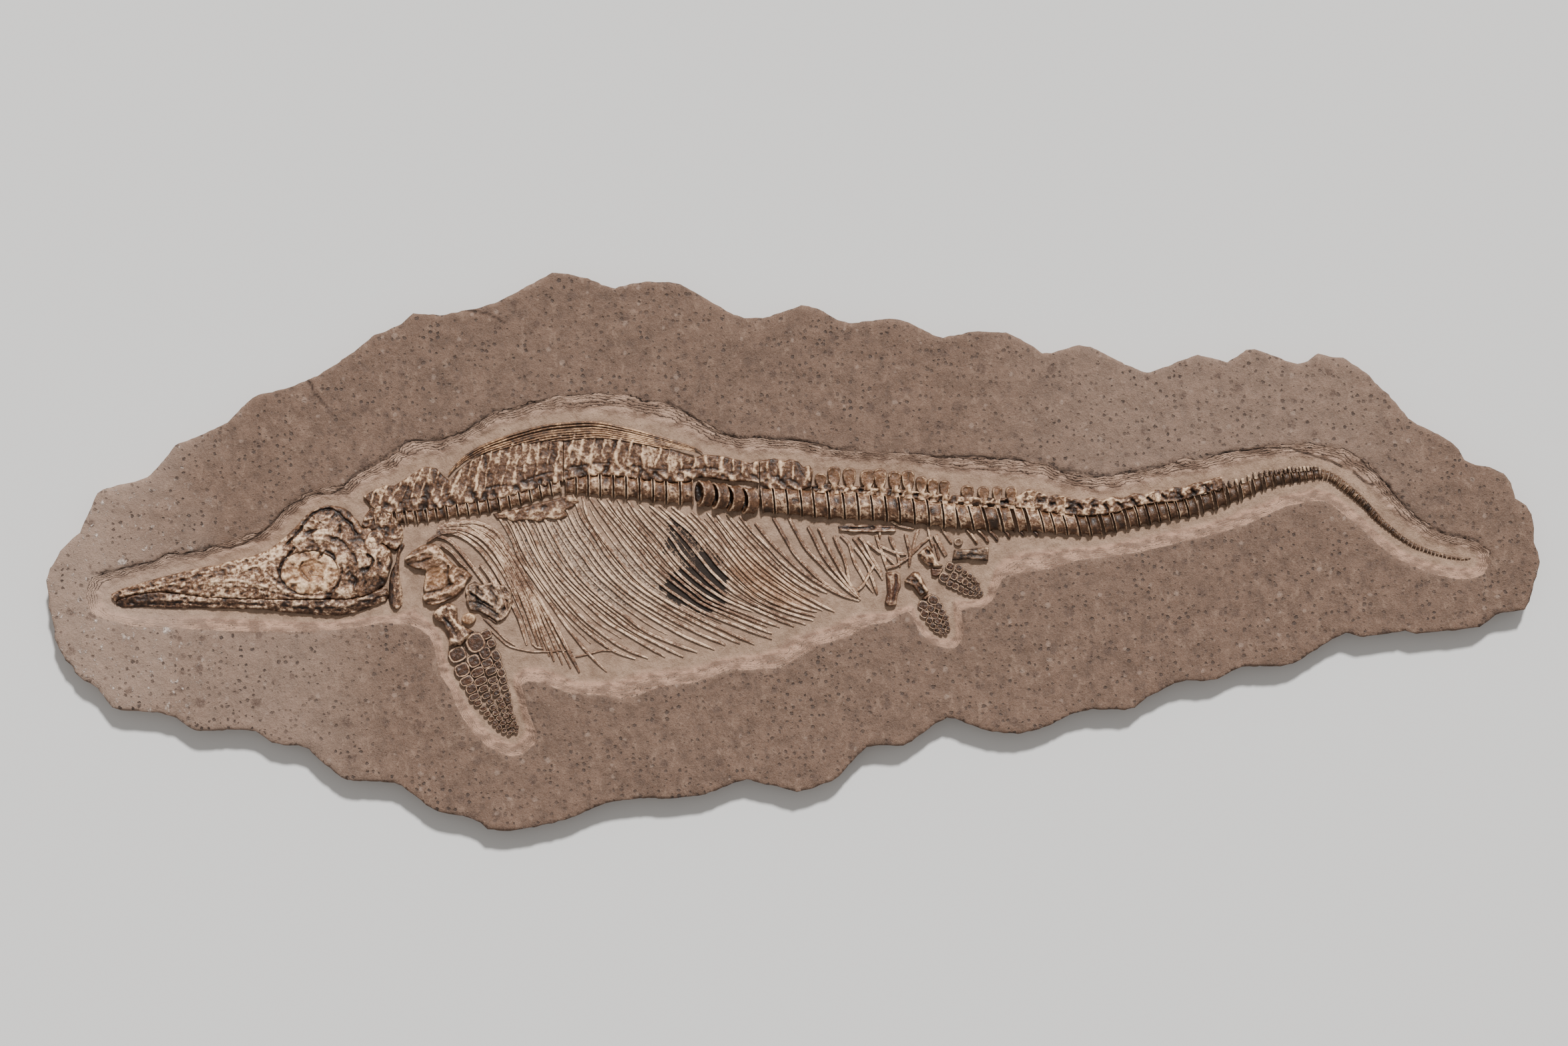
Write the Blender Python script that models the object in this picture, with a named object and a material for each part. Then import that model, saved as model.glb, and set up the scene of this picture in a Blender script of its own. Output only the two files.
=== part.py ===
"""Fossil ichthyosaur skeleton lying in a shallow prepared trough of a shale slab.

The slab lies flat with the bones facing up. Plan points are in millimetres on the slab's own plan:
x runs from the head end to the tail end, y runs from the back edge of the slab to its front edge.
"""
import math

import bmesh
import bpy

MM = 0.001
PLAN_X0 = 1188.5
PLAN_Y0 = 827.25

SLAB_THICK = 32.0
SLAB_UNDERCUT = 4.0
FLOOR_Z = 24.0
LEDGE_Z = 27.4
LEDGE_IN = 4.0
FLOOR_IN = 10.0
GAP = 0.3
BED_Z = FLOOR_Z + GAP

RIB_HALF = 1.9
RIB_TIP = 0.75
SPINE_Z = 31.0
ARCH_Z = 32.5

SLAB_EDGE = [
    (69, 870), (75, 852), (90, 825), (119, 799), (140, 750), (146, 739), (155, 733), (202, 722),
    (220, 716), (231, 706), (263, 667), (311, 648), (340, 633), (378, 597), (387, 591), (408, 588),
    (442, 578), (475, 563), (505, 545), (562, 502), (602, 485), (619, 469), (665, 472), (740, 455),
    (766, 442), (827, 409), (851, 411), (880, 417), (902, 427), (923, 432), (944, 426), (967, 422),
    (1003, 423), (1019, 425), (1070, 455), (1099, 472), (1120, 477), (1144, 478), (1171, 469),
    (1200, 457), (1213, 458), (1255, 479), (1272, 484), (1327, 478), (1352, 479), (1413, 506),
    (1457, 497), (1508, 498), (1529, 508), (1562, 530), (1576, 529), (1618, 517), (1635, 520),
    (1686, 546), (1719, 559), (1795, 532), (1816, 536), (1839, 543), (1869, 524), (1879, 522),
    (1926, 540), (1945, 545), (1959, 542), (1976, 530), (2014, 536), (2048, 559), (2060, 573),
    (2082, 592), (2111, 627), (2130, 639), (2174, 662), (2187, 674), (2195, 690), (2208, 696),
    (2233, 701), (2254, 709), (2265, 724), (2272, 747), (2288, 758), (2295, 770), (2299, 792),
    (2299, 813), (2308, 842), (2305, 859), (2293, 901), (2286, 914), (2254, 918), (2242, 922),
    (2218, 940), (2124, 950), (2107, 946), (2077, 951), (2039, 955), (2018, 949), (1997, 958),
    (1939, 995), (1919, 999), (1863, 999), (1846, 1006), (1825, 1018), (1778, 1020), (1761, 1025),
    (1719, 1045), (1700, 1061), (1686, 1064), (1639, 1063), (1610, 1069), (1574, 1088), (1551, 1095),
    (1525, 1100), (1482, 1096), (1432, 1078), (1419, 1076), (1400, 1085), (1379, 1102), (1354, 1117),
    (1323, 1117), (1299, 1120), (1285, 1133), (1257, 1164), (1247, 1171), (1209, 1184), (1194, 1187),
    (1119, 1168), (1099, 1174), (1057, 1191), (1003, 1197), (960, 1197), (918, 1202), (897, 1208),
    (847, 1229), (800, 1240), (750, 1245.5), (730, 1243), (719, 1234), (702, 1225), (656, 1217),
    (639, 1207), (602, 1178), (591, 1174), (519, 1169), (511, 1165), (486, 1146), (463, 1123),
    (448, 1118), (408, 1113), (383, 1096), (357, 1094), (296, 1096), (248, 1071), (235, 1068),
    (180, 1065), (168, 1061), (147, 1032), (126, 1020), (113, 1009), (109, 999), (98, 990), (83, 961),
    (73, 910),
]

TROUGH_EDGE = [
    (127, 900), (130, 880), (137, 865), (152, 857), (176, 853), (202, 845), (231, 840), (248, 830),
    (269, 826), (303, 824), (345, 809), (387, 797), (408, 784), (420, 767), (437, 753), (454, 742),
    (475, 732), (517, 725), (547, 704), (589, 681), (602, 668), (618, 660), (648, 658), (698, 645),
    (724, 626), (740, 617), (766, 612), (791, 601), (820, 597), (840, 591), (859, 592), (897, 588),
    (935, 590), (990, 601), (1040, 622), (1087, 649), (1108, 656), (1142, 655), (1171, 659), (1209, 659),
    (1255, 674), (1373, 680), (1440, 685), (1474, 684), (1551, 691), (1572, 695), (1593, 707),
    (1644, 715), (1728, 703), (1774, 686), (1800, 688), (1842, 676), (1896, 667), (1955, 663),
    (1989, 667), (2014, 672), (2052, 693), (2082, 726), (2111, 762), (2153, 794), (2178, 804),
    (2204, 808), (2221, 815), (2233, 825), (2235, 842), (2225, 861), (2204, 869), (2183, 869),
    (2153, 863), (2119, 850), (2090, 836), (2065, 817), (2044, 796), (2023, 779), (1989, 754),
    (1972, 752), (1926, 760), (1888, 779), (1850, 794), (1804, 806), (1715, 827), (1660, 837),
    (1618, 840), (1580, 853), (1531, 861), (1503, 868), (1493, 884), (1488, 895), (1474, 909),
    (1458, 916), (1449, 928), (1447, 945), (1443, 958), (1432, 972), (1416, 972), (1397, 966),
    (1381, 951), (1352, 924), (1331, 933), (1302, 939), (1268, 958), (1226, 968), (1209, 981),
    (1171, 1002), (1087, 1006), (1066, 1017), (1045, 1025), (1003, 1029), (973, 1036), (952, 1046),
    (931, 1049), (906, 1044), (851, 1040), (818, 1029), (800, 1030), (790, 1042), (792, 1069),
    (805, 1099), (803, 1116), (784, 1132), (767, 1135), (749, 1131), (728, 1119), (707, 1098),
    (694, 1079), (682, 1056), (673, 1033), (660, 1012), (648, 965), (643, 954), (631, 944), (614, 938),
    (568, 934), (547, 940), (513, 944), (450, 948), (319, 946), (202, 940), (155, 929), (137, 919),
]

# x, upper edge y, mouth edge y, height over the bed
SKULL_ROWS = [
    (167, 890.5, 896.5, 5), (180, 883.3, 893.5, 7), (200, 877.5, 890.8, 9), (218, 871.6, 887.5, 10),
    (234, 867, 885, 11), (250, 863, 882.5, 12), (273, 856.5, 884, 12.5), (300, 851.5, 890, 13),
    (326, 846.6, 894.5, 14), (352, 839.3, 897, 15), (379, 832.8, 898, 16), (398, 825.5, 898.5, 17),
    (424, 806, 899, 18), (443, 788.7, 899, 19), (459, 771.6, 898.5, 19.5), (477, 761, 898, 20),
    (498, 757.5, 897.5, 20), (517, 762.4, 896.5, 19.5), (530, 775.5, 895, 19), (540, 790, 893.5, 18),
    (556, 798, 889, 16), (570, 803, 880, 14), (582, 812, 868, 11),
]

# x, mouth edge y, lower edge y, height over the bed
JAW_ROWS = [
    (174, 901, 908, 4), (185, 896.5, 910, 6), (200, 892.5, 911, 7.5), (218, 889.5, 910, 8.5),
    (238, 887, 911, 9), (258, 886.5, 912.5, 9.5), (280, 888, 911.5, 9.5), (300, 891.5, 911.7, 10),
    (326, 896, 912.4, 10), (352, 898.3, 913, 10.5), (379, 899.2, 912.8, 11), (400, 899.6, 914, 11.5),
    (424, 900, 918, 12), (450, 899.8, 920.2, 12.5), (477, 899.2, 922.4, 13), (508, 898.3, 923.2, 13.5),
    (530, 896.5, 919.5, 13), (545, 894, 914.5, 12), (560, 889.5, 908, 11), (572, 882.5, 904.5, 9.5),
    (579, 877, 899, 8),
]

ORBIT = (466, 857.5, 45, 35)
EAR_DISC = (574.5, 838.7, 12, 14)
NECK_BOSS = (562.6, 807, 13, 13)

HYOID = [
    (603, 814), (595, 824), (593, 840), (586.5, 853), (583, 872), (582, 898), (584, 906), (590, 913),
    (600, 909.5), (603, 898), (601, 882), (597.5, 852), (598, 836), (603, 824), (606, 817),
]
SHOULDER = [
    (605, 838), (616, 827), (632, 817), (643, 814.7), (651, 815), (658, 820), (666, 830), (672, 839),
    (684, 849.5), (692, 851), (701, 857), (708, 864), (700, 870), (697, 881), (689, 889), (682, 896),
    (670, 901), (659, 905.5), (647, 908), (636, 905), (632.6, 894.6), (636, 887.7), (633.5, 879),
    (636, 867), (637.8, 855), (621, 853), (609, 847),
]
CORACOID = [
    (701.5, 879), (711, 869.5), (718, 875), (727, 884), (735, 896), (741, 903), (741, 909),
    (747, 914), (752, 921), (744, 934), (721, 914), (712, 911.5), (703, 908.5), (699.5, 898),
]
HUMERUS = [
    (650, 917), (659.5, 908.5), (671.6, 903.5), (680, 905.5), (684.7, 912), (685.5, 927.6),
    (690.7, 936.3), (701, 942.4), (710, 946.5), (703, 953.7), (696, 963), (692, 968), (682, 968.5),
    (672, 969), (672.5, 953.7), (670, 945), (663, 935), (652, 929), (647.3, 923.3),
]
WRIST_PEBBLE = (702, 927.6, 11.5, 9.5)
FOREFIN = [
    (673, 975), (684, 970.5), (695, 971), (699.5, 965.5), (706.5, 955.5), (714, 949.5), (726, 945),
    (738, 951), (744, 962), (750, 975), (753, 990), (758, 1008), (762, 1022), (766, 1040), (770, 1056),
    (775, 1074), (779, 1090), (774, 1101), (765, 1103), (752, 1098), (741, 1090), (729, 1078),
    (718, 1065), (708, 1052), (699, 1038), (690, 1022), (681, 1008), (673, 992),
]

# left edge x, right edge x, back edge y, front edge y of each run of vertebral bodies
NECK_ROWS = [
    (560, 768, 790), (580, 765, 788), (600, 763, 787), (620, 762, 786), (640, 760, 784), (660, 757, 780),
    (680, 753, 776), (700, 750, 774), (722, 748, 772), (742, 744, 768), (762, 739, 763), (784, 733, 757),
    (804, 727, 751), (825, 720, 745), (841, 716, 741),
]
TRUNK_FRONT_ROWS = [
    (846, 715, 741), (863, 712, 742.5), (881, 709, 744), (899, 708.5, 745.5), (919, 709, 747),
    (938, 711, 748.5), (958, 714, 751), (978.5, 717, 754.5), (998, 719, 757), (1019, 719, 758),
    (1040, 718, 757),
]
TRUNK_REAR_ROWS = [
    (1139.5, 730, 770), (1159.5, 729, 771), (1179, 729, 772.5), (1200, 731, 775), (1219, 733, 777),
    (1241, 736, 779), (1264, 736, 779.5), (1285, 736, 780.5), (1306, 738, 781.5), (1327, 739, 783),
    (1347, 741, 785), (1369, 744, 787), (1390.5, 747, 789), (1412.5, 750, 792), (1433, 751, 794),
]
TAIL_FRONT_ROWS = [
    (1433.7, 752, 794.5), (1454.5, 754, 796), (1476, 756, 797), (1499, 757, 798), (1519.5, 757, 799),
    (1538.5, 759, 798.5), (1561, 763, 799.5), (1577.5, 766, 801), (1596, 768, 803), (1615, 770, 804),
]
TAIL_MIDDLE_ROWS = [
    (1615.7, 770, 804), (1632, 771, 805), (1651, 769, 803), (1668.5, 767, 799), (1688, 762, 794),
    (1704, 756, 791), (1719.5, 753, 788.5), (1735.5, 751, 785), (1751, 750, 781.5), (1764.5, 749, 779),
    (1779, 747, 777), (1795, 741, 773),
]
TAIL_REAR_ROWS = [
    (1800, 739, 771), (1820, 734, 766), (1839, 728, 758.5), (1858, 723, 751), (1877, 717, 743),
    (1894, 711, 736), (1909, 709, 731), (1923, 707, 728), (1936, 705, 726), (1947, 704, 724),
    (1958, 703, 722), (1969, 702, 720), (1979, 702, 719),
]

# x, y, half width along the thin end of the tail
TAIL_TIP_LINE = [
    (1983, 711, 8.2), (1992, 713, 7.6), (2003, 719, 7.6), (2014, 727, 7.4), (2024, 735, 7.2),
    (2034, 743.5, 7), (2043, 752, 6.8), (2051, 760, 6.4), (2060, 770, 6.4), (2069, 779, 5.6),
    (2079, 788, 5.4), (2090, 797, 5), (2100, 805, 4.4), (2112, 813, 4), (2124, 819.5, 4.2),
    (2135, 823.5, 3.8), (2147, 828, 3.6), (2158, 831, 3), (2170, 834.5, 2.8), (2184, 836.6, 2.6),
    (2196, 837.8, 2.4), (2206, 837.5, 1),
]

NECK_CREST = [
    (544, 744), (550, 740), (564, 732.5), (576, 727), (590, 728), (607, 717), (627, 704), (638, 699),
    (654, 702), (664, 713), (673, 720), (684, 708), (702, 691.5), (732, 675.5), (770, 662.5),
    (800, 656.5), (844, 649),
    (844, 722), (804, 733), (762, 745), (722, 753), (680, 759), (640, 766), (600, 769), (572, 770),
    (556, 762),
]
TRUNK_CREST = [
    (845, 649), (868, 647), (900, 648), (940, 654), (980, 664), (1020, 678), (1040, 686),
    (1056, 681), (1080, 683), (1105, 689), (1125, 694), (1138, 689), (1137.5, 724), (1118, 722),
    (1098, 722), (1076, 719), (1056, 716), (1042, 716.5), (1036, 722), (1000, 724), (960, 719), (920, 714),
    (880, 714), (845, 720),
]
REAR_CREST = [
    (1139, 690), (1160, 687), (1176, 691), (1184, 688), (1197, 692), (1204, 700), (1213, 697),
    (1219, 706), (1216, 730), (1200, 736), (1160, 735), (1139.6, 735),
]

# centre x, top y, half width, foot y of the free-standing spines
REAR_SPINES = [
    (1230, 709, 8, 740), (1250, 699, 9, 742), (1273, 701, 9, 742), (1300, 704, 10, 744),
    (1319, 702, 9, 745), (1341, 706, 9, 747), (1361, 705, 9, 749), (1381, 714, 8, 751),
    (1398, 717, 8, 754), (1416, 720, 7.5, 757),
]
TAIL_SPINES = [
    (1450, 727, 9, 760), (1474, 729, 8, 762), (1495, 729, 7, 763), (1516, 729, 8, 764),
    (1545, 733, 9, 768), (1590, 742, 8, 774),
]
CHEVRONS = [
    (1449, 794, 1465, 815), (1466, 795, 1482, 813.5), (1482, 795, 1496, 811), (1505, 795, 1514, 807),
    (1527, 795, 1535, 803.5), (1548, 795, 1556, 803.5),
]

BACK_TENDONS = [
    (673, 709.5, 4), (684, 697.5, 5), (700, 683.5, 6), (731, 667, 6), (765, 655.5, 6), (800, 648.5, 6),
    (835, 641.5, 6), (868, 639, 6), (905, 640, 6), (945, 645.5, 5.5), (985, 655, 5.5), (1020, 666.5, 5),
    (1050, 676.5, 2.5),
]

PELVIC_BAR = [(1256, 788), (1300, 787.5), (1342, 788), (1343, 797), (1310, 799), (1280, 798.5), (1257, 795)]
LOOSE_THIGH = [
    (1327.5, 858.5), (1334, 857), (1343, 857), (1349.5, 860), (1350.5, 880), (1345.5, 892),
    (1344, 907), (1336, 909.5), (1329, 908), (1326, 903), (1329.5, 888), (1328.5, 872),
]
GREY_BLOCK = [(1430, 824), (1452, 823), (1482.5, 820), (1481.5, 841), (1452, 838.5), (1427, 840)]
RING_BONE = (1436.6, 812.5, 7, 7)
PUBIS_ROD = [(1402, 802, 4.2), (1407.5, 813, 3.6), (1413, 824, 3.4), (1418, 832.5, 3.2)]
UPPER_THIGH = [
    (1375, 831), (1384, 822), (1391, 818), (1397.5, 824), (1401, 834), (1405, 843), (1414, 848),
    (1402, 850), (1391, 848.5), (1383, 841),
]
UPPER_PADDLE = [
    (1393, 853), (1401, 851.8), (1412, 851.8), (1418, 843.5), (1425, 842.5), (1438, 845.5),
    (1446, 849.5), (1459, 861), (1466, 869), (1472, 880), (1474, 887), (1469, 893), (1452, 894),
    (1430, 884.5), (1416, 877), (1407.5, 872), (1396, 866.5), (1393, 862),
]
LOWER_THIGH = [
    (1355.5, 871.5), (1360, 865), (1369, 857), (1377, 857.5), (1382.5, 867), (1388, 878), (1392.5, 886),
    (1386, 890.5), (1379.5, 894.5), (1373, 885), (1367, 878), (1358.5, 875),
]
LOWER_PADDLE = [
    (1376, 903), (1381, 898.5), (1388, 896), (1393, 891), (1399, 890), (1407, 896), (1413, 904),
    (1418, 912), (1421, 922), (1425, 935), (1426, 945), (1420, 951.5), (1411, 951.5), (1402, 948),
    (1393, 940), (1386, 931), (1379, 922), (1375.5, 912),
]

BELLY_THREAD = [
    (734, 944), (746, 956), (759, 967), (772, 972.5), (785, 975),
]

FRONT_BUNDLE = [
    [(654, 797), (682, 800), (708, 815), (731, 840), (750, 870), (766, 903), (779, 932), (789, 967)],
    [(656, 791), (690, 793), (722, 807), (749, 837), (768, 868), (785, 905), (797, 938), (806, 967)],
    [(666, 787), (702, 787), (736, 802), (760, 831), (779, 865), (799, 905), (815, 948), (830, 991)],
    [(654, 802), (674, 811), (692, 830), (714, 857), (732, 882), (749, 908)],
    [(688, 783), (716, 783.5), (744, 798), (767, 831), (791, 871), (816, 911), (840, 953), (868, 1008)],
]

# one line a rib, from under the backbone to the belly
RIBS = [
    [(749, 778), (757, 790), (768, 811), (778, 837), (799, 868), (829, 911), (857, 950), (881, 979), (909, 1007)],
    [(760, 776), (769, 792), (782, 822), (799, 852), (828, 893), (863, 932), (896, 960), (923, 977), (952, 988)],
    [(773, 776), (785, 795), (799, 824), (817, 855), (844, 893), (873, 926), (916, 960), (944, 976), (971, 987)],
    [(787, 778), (800, 804), (812, 832), (831, 858), (851, 879), (879, 905), (909, 932), (937, 949), (997, 985)],
    [(801, 778), (814, 806), (828, 833), (847, 858), (868, 881), (895, 905), (922, 926), (949, 946), (1024, 985)],
    [(816, 778), (829, 803), (843, 828), (860, 854), (881, 878), (907, 901), (940, 926), (974, 950), (1045, 978)],
    [(834, 776), (852, 806), (873, 834), (891, 858), (913, 879), (943, 904), (983, 930), (1026, 954), (1071, 974)],
    [(851, 768), (866, 797), (884, 823), (901, 847), (921, 870), (948, 893), (983, 915), (1028, 940), (1087, 967)],
    [(861, 748), (871, 774), (889, 801), (907, 829), (925, 851), (948, 874), (980, 897), (1029, 926), (1109, 965)],
    [(874, 750), (881, 775), (899, 803), (918, 828), (938, 852), (962, 876), (992, 897), (1038, 922), (1131, 966)],
    [(887, 751), (904, 775), (923, 801), (942, 826), (962, 850), (988, 874), (1016, 894), (1060, 920), (1157, 958)],
    [(900, 752), (918, 774), (939, 799), (958, 822), (979, 847), (1003, 868), (1029, 888), (1058, 908), (1157, 950)],
    [(914, 753), (928, 773), (949, 798), (971, 822), (992, 847), (1017, 869), (1041, 888), (1066, 905), (1150, 939)],
    [(929, 754), (943, 774), (968, 804), (991, 830), (1017, 860), (1046, 885), (1077, 904), (1114, 919), (1169, 940)],
    [(945, 756), (962, 779), (984, 804), (1009, 836), (1029, 857), (1057, 880), (1089, 900), (1128, 917)],
    [(963, 761), (985, 784), (1006, 807), (1022, 830), (1042, 852), (1067, 876), (1094, 896), (1133, 914), (1190, 939)],
    [(979, 762), (1002, 782), (1029, 811), (1050, 837), (1070, 861), (1098, 886), (1129, 905), (1165, 921), (1208, 936)],
    [(993, 762), (1010, 777), (1036, 799), (1060, 828), (1080, 852), (1108, 878), (1139, 901), (1174, 916), (1219, 930)],
    [(1012, 764), (1031, 779), (1051, 801), (1070, 823), (1092, 849), (1118, 876), (1147, 897), (1180, 911), (1222, 924)],
    [(1041, 772), (1060, 791), (1080, 814), (1099, 838), (1120, 862), (1142, 880), (1168, 896), (1196, 909), (1225, 917)],
    [(1064, 773), (1080, 793), (1099, 819), (1119, 842), (1141, 862), (1168, 880), (1197, 898), (1233, 915)],
    [(1078, 777), (1089, 791), (1103, 809), (1122, 828), (1142, 847), (1166, 866), (1192, 885), (1220, 901), (1251, 917)],
    [(1094, 776), (1110, 794), (1130, 816), (1150, 837), (1172, 857), (1198, 876), (1228, 893)],
    [(1113, 779), (1130, 799), (1152, 821), (1172, 842), (1194, 860), (1218, 878), (1240, 889)],
]

HIND_BUNDLE = [
    [(1132, 784), (1154, 811), (1178, 835), (1205, 859), (1236, 879), (1262, 892), (1288, 901)],
    [(1159, 776), (1169, 793), (1180, 812), (1191, 830), (1212, 853), (1236, 874), (1264, 892)],
    [(1183, 777), (1193, 796), (1209, 823), (1235, 850), (1261, 876), (1288, 898)],
    [(1211, 789), (1219, 804), (1233, 832), (1253, 858), (1273, 881), (1290, 899)],
    [(1227, 791), (1242, 822), (1258, 850), (1275, 877), (1289, 894)],
    [(1250, 803), (1255, 815), (1261, 827), (1268, 845), (1273, 872)],
    [(1260, 803), (1272, 815), (1278, 834), (1283, 847), (1296, 869), (1309, 888)],
    [(1279, 806), (1290, 820), (1300, 835), (1309, 847), (1318, 858), (1323, 869)],
    [(1281, 821), (1293, 836), (1302, 853), (1311, 878), (1315, 891)],
    [(1287, 804), (1296, 814), (1307, 836), (1316, 850), (1322, 860)],
    [(1299, 812), (1309, 820), (1320, 829)],
    [(1283, 886), (1294, 876), (1304, 857), (1310, 847)],
    [(1313, 802), (1317, 815), (1321, 826), (1325, 838), (1329, 851)],
    [(1334, 805), (1344, 827), (1348, 843), (1349, 850)],
    [(1319, 818), (1331, 824), (1344, 829), (1359, 831)],
    [(1328, 851), (1342, 848), (1352, 842), (1362, 836)],
    [(1357, 800), (1361, 815), (1364, 829), (1363, 849)],
    [(1377, 794), (1372, 805), (1369, 820), (1366, 833)],
    [(1394.5, 804.7), (1390, 808.5), (1381, 816.5), (1364, 833)],
]


def plan(x, y, z):
    """A plan point in millimetres, moved to the row's frame in metres."""
    return ((x - PLAN_X0) * MM, (PLAN_Y0 - y) * MM, z * MM)


def clear_scene():
    for obj in list(bpy.data.objects):
        bpy.data.objects.remove(obj, do_unlink=True)


def new_collection(name):
    group = bpy.data.collections.new(name)
    bpy.context.scene.collection.children.link(group)
    return group


def stone(name, colour, roughness):
    mat = bpy.data.materials.new(name)
    mat.use_nodes = True
    shader = mat.node_tree.nodes["Principled BSDF"]
    shader.inputs["Base Color"].default_value = (*colour, 1.0)
    shader.inputs["Roughness"].default_value = roughness
    shader.inputs["Metallic"].default_value = 0.0
    return mat


def add_mesh(bm, name, mat, group):
    """Close the work on a mesh and put it in its collection."""
    bmesh.ops.remove_doubles(bm, verts=bm.verts[:], dist=0.000005)
    bmesh.ops.recalc_face_normals(bm, faces=bm.faces[:])
    mesh = bpy.data.meshes.new(name)
    bm.to_mesh(mesh)
    bm.free()
    mesh.shade_smooth()
    mesh.set_sharp_from_angle(angle=math.radians(35.0))
    mesh.materials.append(mat)
    obj = bpy.data.objects.new(name, mesh)
    group.objects.link(obj)
    return obj


def hide_cutter(obj):
    obj.hide_render = True
    obj.display_type = "WIRE"


def combine(target, other, operation):
    """Join or cut with an exact Boolean."""
    mod = target.modifiers.new(operation.lower(), "BOOLEAN")
    mod.operation = operation
    mod.solver = "EXACT"
    mod.object = other
    hide_cutter(other)


def plate(name, outline, z_low, z_high, chamfer, mat, group):
    """A flat bone: its outline raised from the bed, with a chamfered upper edge."""
    bm = bmesh.new()
    corners = [bm.verts.new(plan(x, y, z_low)) for x, y in outline]
    face = bm.faces.new(corners)
    raised = bmesh.ops.extrude_face_region(bm, geom=[face])
    top = [item for item in raised["geom"] if isinstance(item, bmesh.types.BMFace)]
    lift = [item for item in raised["geom"] if isinstance(item, bmesh.types.BMVert)]
    rise = (z_high - z_low - chamfer) * MM
    bmesh.ops.translate(bm, verts=lift, vec=(0.0, 0.0, rise))
    bmesh.ops.recalc_face_normals(bm, faces=bm.faces[:])
    if chamfer > 0.0:
        bmesh.ops.inset_region(bm, faces=top, thickness=chamfer * MM, depth=chamfer * MM, use_even_offset=True)
    return add_mesh(bm, name, mat, group)


def oval(centre, sides, grow=0.0):
    """Plan points of an oval bone."""
    x, y, rx, ry = centre
    angles = [2.0 * math.pi * k / sides for k in range(sides)]
    return [(x + (rx + grow) * math.cos(a), y + (ry + grow) * math.sin(a)) for a in angles]


def button(name, centre, z_low, z_high, mat, group, sides=14):
    """A small rounded bone such as a disc or a pebble."""
    bm = bmesh.new()
    bmesh.ops.create_cone(
        bm, cap_ends=True, segments=sides, radius1=1.0, radius2=0.7, depth=1.0,
    )
    x, y, rx, ry = centre
    px, py, pz = plan(x, y, 0.5 * (z_low + z_high))
    bmesh.ops.scale(bm, verts=bm.verts[:], vec=(rx * MM, ry * MM, (z_high - z_low) * MM))
    bmesh.ops.translate(bm, verts=bm.verts[:], vec=(px, py, pz))
    return add_mesh(bm, name, mat, group)


def profile_curve(name, points, cutters):
    """A closed cross-section that a rod is drawn with."""
    curve = bpy.data.curves.new(name, "CURVE")
    curve.dimensions = "2D"
    spline = curve.splines.new("POLY")
    spline.points.add(len(points) - 1)
    for point, (px, py) in zip(spline.points, points):
        point.co = (px * MM, py * MM, 0.0, 1.0)
    spline.use_cyclic_u = True
    obj = bpy.data.objects.new(name, curve)
    cutters.objects.link(obj)
    hide_cutter(obj)
    return obj


def rod(name, line, section, z_low, mat, group):
    """A long bone: a section drawn along x, y points that each carry their own half width."""
    curve = bpy.data.curves.new(name + "_line", "CURVE")
    curve.dimensions = "3D"
    curve.twist_mode = "Z_UP"
    curve.bevel_mode = "OBJECT"
    curve.bevel_object = section
    curve.use_fill_caps = True
    spline = curve.splines.new("POLY")
    spline.points.add(len(line) - 1)
    for point, (x, y, half) in zip(spline.points, line):
        point.co = (*plan(x, y, z_low), 1.0)
        point.radius = half
    guide = bpy.data.objects.new(name + "_line", curve)
    group.objects.link(guide)
    graph = bpy.context.evaluated_depsgraph_get()
    drawn = bpy.data.meshes.new_from_object(guide.evaluated_get(graph))
    bpy.data.objects.remove(guide, do_unlink=True)
    bm = bmesh.new()
    bm.from_mesh(drawn)
    bpy.data.meshes.remove(drawn)
    return add_mesh(bm, name, mat, group)


def rib_line(points, half, heads=(0.8, 1.0, 1.0)):
    """Half widths for a rib: its first three points take the shares for the head, its end is thinner."""
    last = len(points) - 1
    line = []
    for k, (x, y) in enumerate(points):
        share = 1.0
        if k < 3:
            share = heads[k]
        if k == last:
            share = RIB_TIP
        line.append((x, y, half * share))
    return line


def spool_line(rows, waist):
    """Centre line of a run of vertebral bodies with a rim at each joint and a waist between."""
    line = []
    for k, (x, back, front) in enumerate(rows):
        line.append((x, 0.5 * (back + front), 0.5 * (front - back)))
        if k + 1 < len(rows):
            x2, back2, front2 = rows[k + 1]
            middle = 0.25 * (back + front + back2 + front2)
            half = 0.25 * (front - back + front2 - back2) * waist
            line.append((0.5 * (x + x2), middle, half))
    return line


def loft(name, loops, mat, group):
    """A closed body through loops that all have the same number of points."""
    bm = bmesh.new()
    rings = [[bm.verts.new(plan(*p)) for p in loop] for loop in loops]
    for ring_a, ring_b in zip(rings, rings[1:]):
        count = len(ring_a)
        for k in range(count):
            n = (k + 1) % count
            bm.faces.new((ring_a[k], ring_a[n], ring_b[n], ring_b[k]))
    bm.faces.new(rings[0])
    bm.faces.new(rings[-1])
    return add_mesh(bm, name, mat, group)


def head_loops(rows, shape):
    """Cross-sections of a skull or jaw: shape gives share of the breadth and share of the height."""
    loops = []
    for x, back, front, high in rows:
        loops.append([(x, front + (back - front) * s, BED_Z + high * h) for s, h in shape])
    return loops


def inward(loop, amount):
    """A closed plan loop moved inward by a fixed amount, then eased so that its corners stay clean."""
    count = len(loop)
    moved = []
    for k in range(count):
        ax, ay = loop[k - 1]
        bx, by = loop[(k + 1) % count]
        dx = bx - ax
        dy = by - ay
        size = math.hypot(dx, dy)
        x, y = loop[k]
        moved.append((x - dy / size * amount, y + dx / size * amount))
    eased = []
    for k in range(count):
        ax, ay = moved[k - 1]
        bx, by = moved[(k + 1) % count]
        x, y = moved[k]
        eased.append((0.6 * x + 0.2 * (ax + bx), 0.6 * y + 0.2 * (ay + by)))
    return eased


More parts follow.
